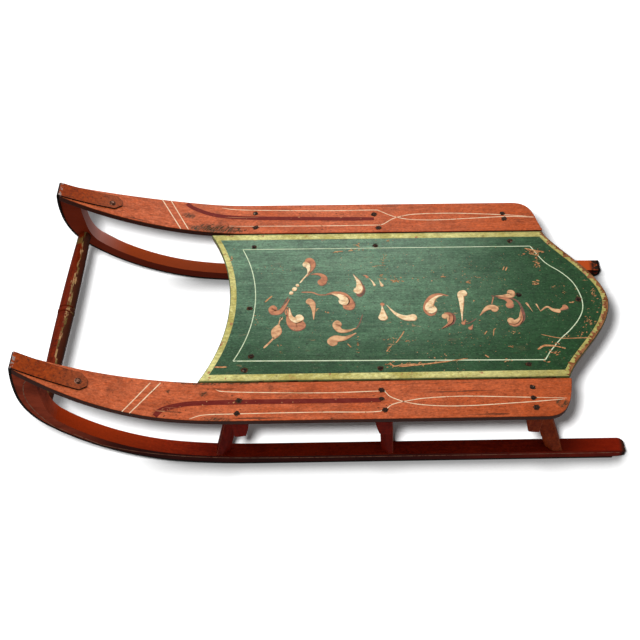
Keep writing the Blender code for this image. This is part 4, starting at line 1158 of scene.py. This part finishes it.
class SLED_OT_border(bpy.types.Operator):
    """Paint the border round the seat board, and wear its rim through round the tail"""

    bl_idname = "sled.border"
    bl_label = "Paint the border"

    def execute(self, context):
        outline = seat_outline()
        half = SEAT_HALF - 0.0012 - sizes().border
        front = arc_through((BORDER_FRONT[0], half), (BORDER_FRONT[1], 0.0), (BORDER_FRONT[0], -half))
        tail = tail_outline()
        inner = inset(tail, [TAIL_BORDER] * len(tail))
        inner = [(x, y) for x, y in inner if abs(y) < half]
        loop = [*front, (TAIL_FROM + 0.0005, -half), *inner, (TAIL_FROM + 0.0005, half)]
        band = slab("seat_border", (outline, loop), DECK - PAINT_SUNK, DECK + PAINT_PROUD, border_material())
        put_on(band)
        draw = random.Random(context.scene.sled_stage.seed)
        run = [tuple(point) for point in smooth_path([(x, y, 0.0) for x, y in tail], 5)]
        run = [(x, y) for x, y, _ in run]
        depths = [RIM_WEAR * draw.choice((0.35, 0.7, 0.9, 1.2, 1.9)) * draw.uniform(0.8, 1.2) for _ in run]
        depths[0] = depths[-1] = 0.0004
        worn = slab("tail_rim", (run + list(reversed(inset(run, depths)))[1:-1],), DECK - PAINT_SUNK * 2.0,
                    DECK + PAINT_PROUD * 1.5, rim_material())
        put_on(worn)
        return {"FINISHED"}


class SLED_OT_seat_lines(bpy.types.Operator):
    """Run the cream pinstripe round the seat board"""

    bl_idname = "sled.seat_lines"
    bl_label = "Line the seat"

    def execute(self, context):
        tail = smooth_path([PIN_REAR_FAR, *PIN_TAIL, PIN_TAIL_TURN])
        half = sizes().pinstripe / 2.0
        paths = [laid(arc_through(PIN_FRONT_FAR, PIN_FRONT_MIDDLE, PIN_FRONT_NEAR), half),
                 laid(between(PIN_FRONT_FAR, PIN_REAR_FAR), half * 0.9),
                 laid(between(PIN_FRONT_NEAR, PIN_REAR_NEAR), half * 1.25),
                 laid(tail, half * 1.1), laid(between(PIN_TAIL_TURN, PIN_REAR_NEAR, 6), half * 1.2)]
        ink = line_material("seat_line_cream", tone("seat_line"), (0.46, 0.55, 0.33), board_chips, tone("seat"), 0.66)
        piece = run_tree(brush_tree(), curves_object(paths), "seat_pinstripe", Material=ink, Seed=3)
        put_on(piece)
        return {"FINISHED"}


class SLED_OT_flourishes(bpy.types.Operator):
    """Brush the comma strokes, buds and stems on the seat board"""

    bl_idname = "sled.flourishes"
    bl_label = "Brush the flourishes"

    def execute(self, context):
        strokes = {paint: [] for paint in BRUSH}
        for shapes, make in ((STEMS, None), (STROKES, comma), (BUDS, bud)):
            for paint, width, places in shapes:
                lift = BRUSH[paint][1] * PAINT_PROUD
                if make:
                    strokes[paint].append(make(places, width, lift))
                    if paint in RIM_PAINTS:
                        under = RIM_PAINTS[paint]
                        rim = [(x + STROKE_RIM[0], y + STROKE_RIM[1]) for x, y in places]
                        strokes[under].append(make(rim, width * 1.08, BRUSH[under][1] * PAINT_PROUD))
                else:
                    strokes[paint].append(laid(smooth_path(millimetres(places)), width * 0.0005, 0.3, lift))
        inks = {"c": line_material("stroke_cream", tone("cream"), (0.62, 0.36, 0.17), board_chips, tone("shade"), 0.64),
                "f": line_material("stroke_flesh", tone("flesh"), (0.42, 0.20, 0.10), board_chips, tone("shade"), 0.62),
                "s": line_material("stroke_shade", tone("shade"), (0.34, 0.13, 0.075), board_chips, tone("seat"), 0.64),
                "p": line_material("stroke_plum", tone("plum"), (0.12, 0.07, 0.05), board_chips, tone("seat"), 0.60)}
        tree = brush_tree()
        for seed, (paint, (name, _)) in enumerate(BRUSH.items()):
            piece = run_tree(tree, curves_object(strokes[paint]), name, Material=inks[paint], Seed=11 + seed,
                             Wobble=0.0007, Unevenness=0.3)
            put_on(piece)
        return {"FINISHED"}


class SLED_OT_rail_lines(bpy.types.Operator):
    """Paint the dark bands and the cream lines along both rails"""

    bl_idname = "sled.rail_lines"
    bl_label = "Line the rails"

    def execute(self, context):
        half = sizes().rail_line / 2.0
        lines = [laid(smooth_path(millimetres(path)), half, 0.4) for path in RAIL_LINES]
        lines += [laid(between(*millimetres(path), 14), half * 1.15, 0.8) for path in RAIL_PAIRS]
        bands = [laid(smooth_path(millimetres(path)), sizes().band / 2.0, 0.9) for path in RAIL_BANDS]
        tree = brush_tree()
        ink = line_material("rail_line_cream", tone("line"), (0.70, 0.42, 0.26), rail_chips, tone("rail"), 0.66)
        dark = line_material("rail_band_maroon", tone("band"), (0.155, 0.018, 0.011), rail_chips, tone("rail_dark"), 0.74)
        put_on(bent_up(run_tree(tree, curves_object(lines), "rail_pinstripes", Material=ink, Seed=5)))
        put_on(bent_up(run_tree(tree, curves_object(bands), "rail_bands", Material=dark, Seed=6)))
        return {"FINISHED"}


# The line on a runner's outer side, in millimetres from the nose end: along, height
SIDE_LINE = ((-393, 203), (-402, 190), (-407, 170), (-406, 148), (-399, 124), (-386, 98), (-364, 74), (-334, 54),
             (-290, 36), (-240, 24), (-190, 17.5), (-120, 14), (0, 13), (150, 13), (300, 13), (385, 13))
SIDE_LINE_HALF = 0.0006


def side_line(side, sign):
    """A thin closed line on a runner's outer side, along SIDE_LINE."""
    surface = BVHTree.FromObject(NODES[side + "_runner"], bpy.context.evaluated_depsgraph_get())
    path = smooth_path(millimetres(SIDE_LINE), 6)
    shape = bmesh.new()
    rings = []
    for index, point in enumerate(path):
        along = (path[min(index + 1, len(path) - 1)] - path[max(index - 1, 0)]).normalized()
        across = Vector((-along.y, along.x)) * SIDE_LINE_HALF
        corners = []
        for place in (point + across, point - across):
            start = Vector((place.x, sign * 0.3, place.y))
            hit = surface.ray_cast(start, Vector((0.0, -sign, 0.0)))[0]
            if hit is None:
                break
            corners += [(hit.x, hit.y + sign * PAINT_PROUD, hit.z), (hit.x, hit.y - sign * PAINT_SUNK, hit.z)]
        if len(corners) == 4:
            rings.append([shape.verts.new(corner) for corner in corners])
    for ring, after in zip(rings, rings[1:]):
        for i, j in ((0, 2), (2, 3), (3, 1), (1, 0)):
            shape.faces.new((ring[i], ring[j], after[j], after[i]))
    for ring in (rings[0], rings[-1]):
        shape.faces.new((ring[0], ring[1], ring[3], ring[2]))
    return shape


class SLED_OT_side_lines(bpy.types.Operator):
    """Line the outer side of both runners"""

    bl_idname = "sled.side_lines"
    bl_label = "Line the runners"

    def execute(self, context):
        ink = line_material("runner_line", (0.42, 0.19, 0.11), (0.24, 0.060, 0.030), rail_chips, tone("runner_dark"), 0.58)
        for side, sign in SIDES:
            put_on(piece_of(side_line(side, sign), side + "_runner_line", ink))
        return {"FINISHED"}


class SLED_OT_wear(bpy.types.Operator):
    """Flake and scratch the paint of the seat board and the rails"""

    bl_idname = "sled.wear"
    bl_label = "Wear the paint"

    def execute(self, context):
        wood = flake_material("flaked_wood", (0.58, 0.29, 0.13), (0.38, 0.15, 0.06))
        dark = flake_material("flaked_dark", (0.085, 0.028, 0.012), (0.16, 0.050, 0.020))
        soot = flake_material("scratched_dark", (0.055, 0.036, 0.014), (0.030, 0.016, 0.008))
        seed = context.scene.sled_stage.seed
        put_on(flakes("seat_flakes", SEAT_FLAKES, wood, seed + 1, PAINT_PROUD * 2.6))
        put_on(bent_up(flakes("rail_flakes", RAIL_FLAKES, dark, seed + 2, PAINT_PROUD * 1.6, 0.6)))
        paths = [laid(smooth_path(millimetres(places)), width * 0.0005, 0.3, PAINT_PROUD * 2.5)
                 for width, places in SCRATCHES]
        piece = run_tree(brush_tree(), curves_object(paths), "seat_scratches", Material=wood, Seed=21,
                         Wobble=0.0012, Unevenness=0.9)
        put_on(piece)
        paths = [laid(smooth_path(millimetres(places)), width * 0.0005, 0.2, PAINT_PROUD * 1.8)
                 for width, places in fan_scratches(random.Random(seed + 3))]
        piece = run_tree(brush_tree(), curves_object(paths), "rail_scratches", Material=soot, Seed=22,
                         Wobble=0.0008, Unevenness=0.9)
        put_on(bent_up(piece))
        return {"FINISHED"}


class SLED_OT_nails(bpy.types.Operator):
    """Drive the forged nails, each in a little old grime"""

    bl_idname = "sled.nails"
    bl_label = "Drive the nails"

    def execute(self, context):
        board, rails = nail_places()
        draw = random.Random(context.scene.sled_stage.seed)
        shape = bmesh.new()
        for x, y in board + rails:
            radius = sizes().nail_head * draw.uniform(0.58, 0.70)
            ragged_disc((x, y), (radius * 1.15, radius), 0.0, DECK - PAINT_SUNK, DECK + PAINT_PROUD * 3.0, shape, draw, 18)
        put_on(piece_of(shape, "nail_grime", grime_material()))
        points = [(x, y, DECK + PAINT_PROUD * 2.0) for x, y in board + rails]
        piece = run_tree(nail_tree(), points_object(points), "forged_nails", Iron=nail_material(), Seed=4,
                         **{"Head diameter": sizes().nail_head})
        put_on(piece)
        return {"FINISHED"}


# A rivet's profile as shares of its radius: out, up
RIVET_PROFILE = ((1.16, -0.30), (1.16, 0.02), (0.98, 0.10), (0.90, 0.02), (0.80, 0.06), (0.70, 0.24), (0.46, 0.40), (0.0, 0.46))
RIVETS = ((-0.3372, -0.1560), (-0.3365, 0.1560))


def rivet(x, y, radius, shape, sides=20):
    """A domed rivet in its dished washer, square to the strap under it."""
    surface = BVHTree.FromObject(NODES["left_shoe" if y < 0.0 else "right_shoe"], bpy.context.evaluated_depsgraph_get())
    hit, normal = surface.ray_cast(Vector((x, y, 0.4)), Vector((0.0, 0.0, -1.0)))[:2]
    turn = normal.to_track_quat("Z", "X")
    rings = []
    for out, up in RIVET_PROFILE[:-1]:
        rings.append([shape.verts.new(hit + turn @ Vector((radius * out * math.cos(2.0 * math.pi * i / sides),
                                                           radius * out * math.sin(2.0 * math.pi * i / sides), radius * up)))
                      for i in range(sides)])
    for ring, after in zip(rings, rings[1:]):
        for i in range(sides):
            shape.faces.new((ring[i - 1], ring[i], after[i], after[i - 1]))
    shape.faces.new(rings[-1])
    shape.faces.new(list(reversed(rings[0])))


class SLED_OT_rivets(bpy.types.Operator):
    """Set a rivet through each strap's tab"""

    bl_idname = "sled.rivets"
    bl_label = "Set the rivets"

    def execute(self, context):
        recipe = Recipe("rivet_iron")
        height = recipe.noise(300.0, 4.0, 0.6)
        rubbed = recipe.step(recipe.facing_up(), 0.80, 0.95)
        colour = recipe.blend(recipe.maths("MULTIPLY", rubbed, recipe.step(height, 0.38, 0.55)),
                              (0.060, 0.018, 0.008), (0.42, 0.20, 0.13))
        recipe.bump(height, 0.4, 0.0003)
        iron = recipe.finish(colour, 0.45, 0.3)
        shape = bmesh.new()
        for x, y in RIVETS:
            rivet(x, y, sizes().rivet / 2.0, shape)
        put_on(piece_of(shape, "strap_rivets", iron))
        return {"FINISHED"}


class SLED_OT_stage(bpy.types.Operator):
    """Set up the floor, the soft light and the camera"""

    bl_idname = "sled.stage"
    bl_label = "Set the stage"

    def execute(self, context):
        scene = context.scene
        scene.view_settings.view_transform = "Standard"
        floor = make_floor()
        make_world(scene)
        make_lamps(scene, floor)
        make_camera(scene)
        return {"FINISHED"}


# The camera, as a place, its axes and a lens
CAMERA_PLACE = (-0.00837, -0.79551, 1.14812)
CAMERA_RIGHT = (0.99978, -0.02053, 0.00425)
CAMERA_UP = (0.0138, 0.7971, 0.60369)
CAMERA_BACK = (-0.01578, -0.6035, 0.79721)
CAMERA_LENS = 51.32
CAMERA_SHIFT = (-0.0508, 0.0)
FLOOR_HALF = 1.4
FLOOR_DROP = 0.0004

# The lamp that shades the floor stands beside the camera, this far along its right and up
SHADE_ASIDE = (-0.130, 0.112)
SHADE_RADIUS = 0.095
# Painted contact shadow: the floor's colour is darkened near the sled by an occlusion node, within this reach, leaned
# this way and between these levels
CONTACT_REACH = 0.040
CONTACT_LEAN = (-0.42, 0.42, 0.80)
CONTACT_DARK, CONTACT_CLEAR, CONTACT_LEFT = 0.50, 0.990, 0.22
KEY_PLACE = (-0.35, 0.25, 2.15)
KEY_SIZE = (1.4, 1.0)
SHEEN_PLACE = (-0.05, 1.74, 1.75)
SHEEN_SIZE = (1.1, 0.5)


def shade_place():
    right, up = Vector(CAMERA_RIGHT), Vector(CAMERA_UP)
    return Vector(CAMERA_PLACE) + right * SHADE_ASIDE[0] + up * SHADE_ASIDE[1]


def make_camera(scene):
    data = bpy.data.cameras.new("camera")
    data.sensor_width = 36.0
    data.lens = CAMERA_LENS
    data.shift_x, data.shift_y = CAMERA_SHIFT
    data.clip_end = 50.0
    camera = bpy.data.objects.new("camera", data)
    scene.collection.objects.link(camera)
    turn = Matrix((CAMERA_RIGHT, CAMERA_UP, CAMERA_BACK)).transposed()
    camera.matrix_world = Matrix.Translation(CAMERA_PLACE) @ turn.to_4x4()
    scene.camera = camera


def floor_material():
    """White to the eye with the object's shadow kept and a contact shadow painted in, and grey to the light that it
    throws back.
    """
    material = bpy.data.materials.new("studio_floor")
    material.use_nodes = True
    tree = material.node_tree
    tree.nodes.clear()
    out = tree.nodes.new("ShaderNodeOutputMaterial")
    seen = tree.nodes.new("ShaderNodeBsdfDiffuse")
    bounced = tree.nodes.new("ShaderNodeBsdfDiffuse")
    bounced.inputs["Color"].default_value = (0.22, 0.22, 0.22, 1.0)
    # Painted contact shadow: an occlusion node, leaned one way, darkens the floor's colour near the sled
    contact = tree.nodes.new("ShaderNodeAmbientOcclusion")
    contact.samples = 24
    contact.inputs["Distance"].default_value = CONTACT_REACH
    lean = tree.nodes.new("ShaderNodeCombineXYZ")
    for socket, value in zip(lean.inputs, CONTACT_LEAN):
        socket.default_value = value
    tree.links.new(lean.outputs[0], contact.inputs["Normal"])
    open_share = tree.nodes.new("ShaderNodeMapRange")
    tree.links.new(contact.outputs["AO"], open_share.inputs["Value"])
    open_share.inputs["From Min"].default_value = CONTACT_DARK
    open_share.inputs["From Max"].default_value = CONTACT_CLEAR
    open_share.inputs["To Min"].default_value = CONTACT_LEFT
    tree.links.new(open_share.outputs["Result"], seen.inputs["Color"])
    towards = tree.nodes.new("ShaderNodeVectorMath")
    towards.operation = "SUBTRACT"
    towards.inputs[0].default_value = shade_place()
    tree.links.new(tree.nodes.new("ShaderNodeNewGeometry").outputs["Position"], towards.inputs[1])
    unit = tree.nodes.new("ShaderNodeVectorMath")
    unit.operation = "NORMALIZE"
    tree.links.new(towards.outputs[0], unit.inputs[0])
    tree.links.new(unit.outputs[0], seen.inputs["Normal"])
    path = tree.nodes.new("ShaderNodeLightPath")
    mix = tree.nodes.new("ShaderNodeMixShader")
    tree.links.new(path.outputs["Is Camera Ray"], mix.inputs[0])
    tree.links.new(bounced.outputs[0], mix.inputs[1])
    tree.links.new(seen.outputs[0], mix.inputs[2])
    clear = tree.nodes.new("ShaderNodeBsdfTransparent")
    below = tree.nodes.new("ShaderNodeMixShader")
    tree.links.new(tree.nodes.new("ShaderNodeNewGeometry").outputs["Backfacing"], below.inputs[0])
    tree.links.new(mix.outputs[0], below.inputs[1])
    tree.links.new(clear.outputs[0], below.inputs[2])
    tree.links.new(below.outputs[0], out.inputs["Surface"])
    return material


def make_floor():
    mesh = bpy.data.meshes.new("floor")
    half = FLOOR_HALF
    mesh.from_pydata([(-half, -half, -FLOOR_DROP), (half, -half, -FLOOR_DROP), (half, half, -FLOOR_DROP),
                      (-half, half, -FLOOR_DROP)], [], [(0, 1, 2, 3)])
    floor = bpy.data.objects.new("floor", mesh)
    bpy.context.scene.collection.objects.link(floor)
    mesh.materials.append(floor_material())
    return floor


def make_world(scene):
    world = bpy.data.worlds.new("studio")
    scene.world = world
    world.use_nodes = True
    tree = world.node_tree
    tree.nodes.clear()
    out = tree.nodes.new("ShaderNodeOutputWorld")
    soft = tree.nodes.new("ShaderNodeBackground")
    soft.inputs["Color"].default_value = (1.0, 1.0, 1.0, 1.0)
    soft.inputs["Strength"].default_value = scene.sled_stage.fill
    white = tree.nodes.new("ShaderNodeBackground")
    white.inputs["Color"].default_value = (1.0, 1.0, 1.0, 1.0)
    path = tree.nodes.new("ShaderNodeLightPath")
    mix = tree.nodes.new("ShaderNodeMixShader")
    tree.links.new(path.outputs["Is Camera Ray"], mix.inputs[0])
    tree.links.new(soft.outputs[0], mix.inputs[1])
    tree.links.new(white.outputs[0], mix.inputs[2])
    tree.links.new(mix.outputs[0], out.inputs["Surface"])


def receivers(name, floor, state):
    """A collection that links a lamp to the floor alone, or to all but the floor."""
    group = bpy.data.collections.new(name)
    group.objects.link(floor)
    group.collection_objects[0].light_linking.link_state = state
    return group


def aim(item, place, target):
    back = (Vector(place) - Vector(target)).normalized()
    item.matrix_world = Matrix.Translation(place) @ back.to_track_quat("Z", "Y").to_matrix().to_4x4()


def make_lamps(scene, floor):
    stage = scene.sled_stage
    for name, place, size, power in (("key", KEY_PLACE, KEY_SIZE, stage.key),
                                     ("sheen", SHEEN_PLACE, SHEEN_SIZE, stage.sheen)):
        lamp = bpy.data.lights.new(name, "AREA")
        lamp.shape = "RECTANGLE"
        lamp.size, lamp.size_y = size
        lamp.energy = power
        lamp_object = bpy.data.objects.new(name, lamp)
        scene.collection.objects.link(lamp_object)
        aim(lamp_object, place, (0.0, 0.0, 0.1))
        lamp_object.visible_glossy = name == "sheen"
        lamp_object.light_linking.receiver_collection = receivers("lit by " + name, floor, "EXCLUDE")
    shade = bpy.data.lights.new("floor lamp", "POINT")
    shade.energy = stage.shadow
    shade.shadow_soft_size = SHADE_RADIUS
    shade.use_nodes = True
    tree = shade.node_tree
    emission = next(node for node in tree.nodes if node.type == "EMISSION")
    falloff = tree.nodes.new("ShaderNodeLightFalloff")
    falloff.inputs["Strength"].default_value = 1.0
    tree.links.new(falloff.outputs["Constant"], emission.inputs["Strength"])
    shade_object = bpy.data.objects.new("floor lamp", shade)
    scene.collection.objects.link(shade_object)
    shade_object.location = shade_place()
    shade_object.light_linking.receiver_collection = receivers("lit by floor lamp", floor, "INCLUDE")


class SLED_PT_panel(bpy.types.Panel):
    """Sizes, colours and steps of the painted sled"""

    bl_label = "Painted sled"
    bl_idname = "SLED_PT_panel"
    bl_space_type = "VIEW_3D"
    bl_region_type = "UI"
    bl_category = "Sled"

    def draw(self, context):
        scene = context.scene
        for group in (scene.sled_sizes, scene.sled_colours, scene.sled_stage):
            box = self.layout.box()
            for name in group.__annotations__:
                box.prop(group, name)
        for operator in OPERATORS:
            self.layout.operator(operator.bl_idname)


OPERATORS = (SLED_OT_finishes, SLED_OT_border, SLED_OT_seat_lines, SLED_OT_flourishes, SLED_OT_rail_lines,
             SLED_OT_side_lines, SLED_OT_wear, SLED_OT_nails, SLED_OT_rivets, SLED_OT_stage)
GROUPS = (("sled_sizes", SledSizes), ("sled_colours", SledColours), ("sled_stage", SledStage))
CLASSES = (SledSizes, SledColours, SledStage, *OPERATORS, SLED_PT_panel)


def register():
    for item in CLASSES:
        bpy.utils.register_class(item)
    for name, group in GROUPS:
        setattr(bpy.types.Scene, name, PointerProperty(type=group))


def unregister():
    for name, _ in GROUPS:
        delattr(bpy.types.Scene, name)
    for item in reversed(CLASSES):
        bpy.utils.unregister_class(item)


def main():
    register()
    bpy.ops.sled.finishes()
    bpy.ops.sled.border()
    bpy.ops.sled.seat_lines()
    bpy.ops.sled.flourishes()
    bpy.ops.sled.rail_lines()
    bpy.ops.sled.side_lines()
    bpy.ops.sled.wear()
    bpy.ops.sled.nails()
    bpy.ops.sled.rivets()
    bpy.ops.sled.stage()


if __name__ == "__main__":
    main()
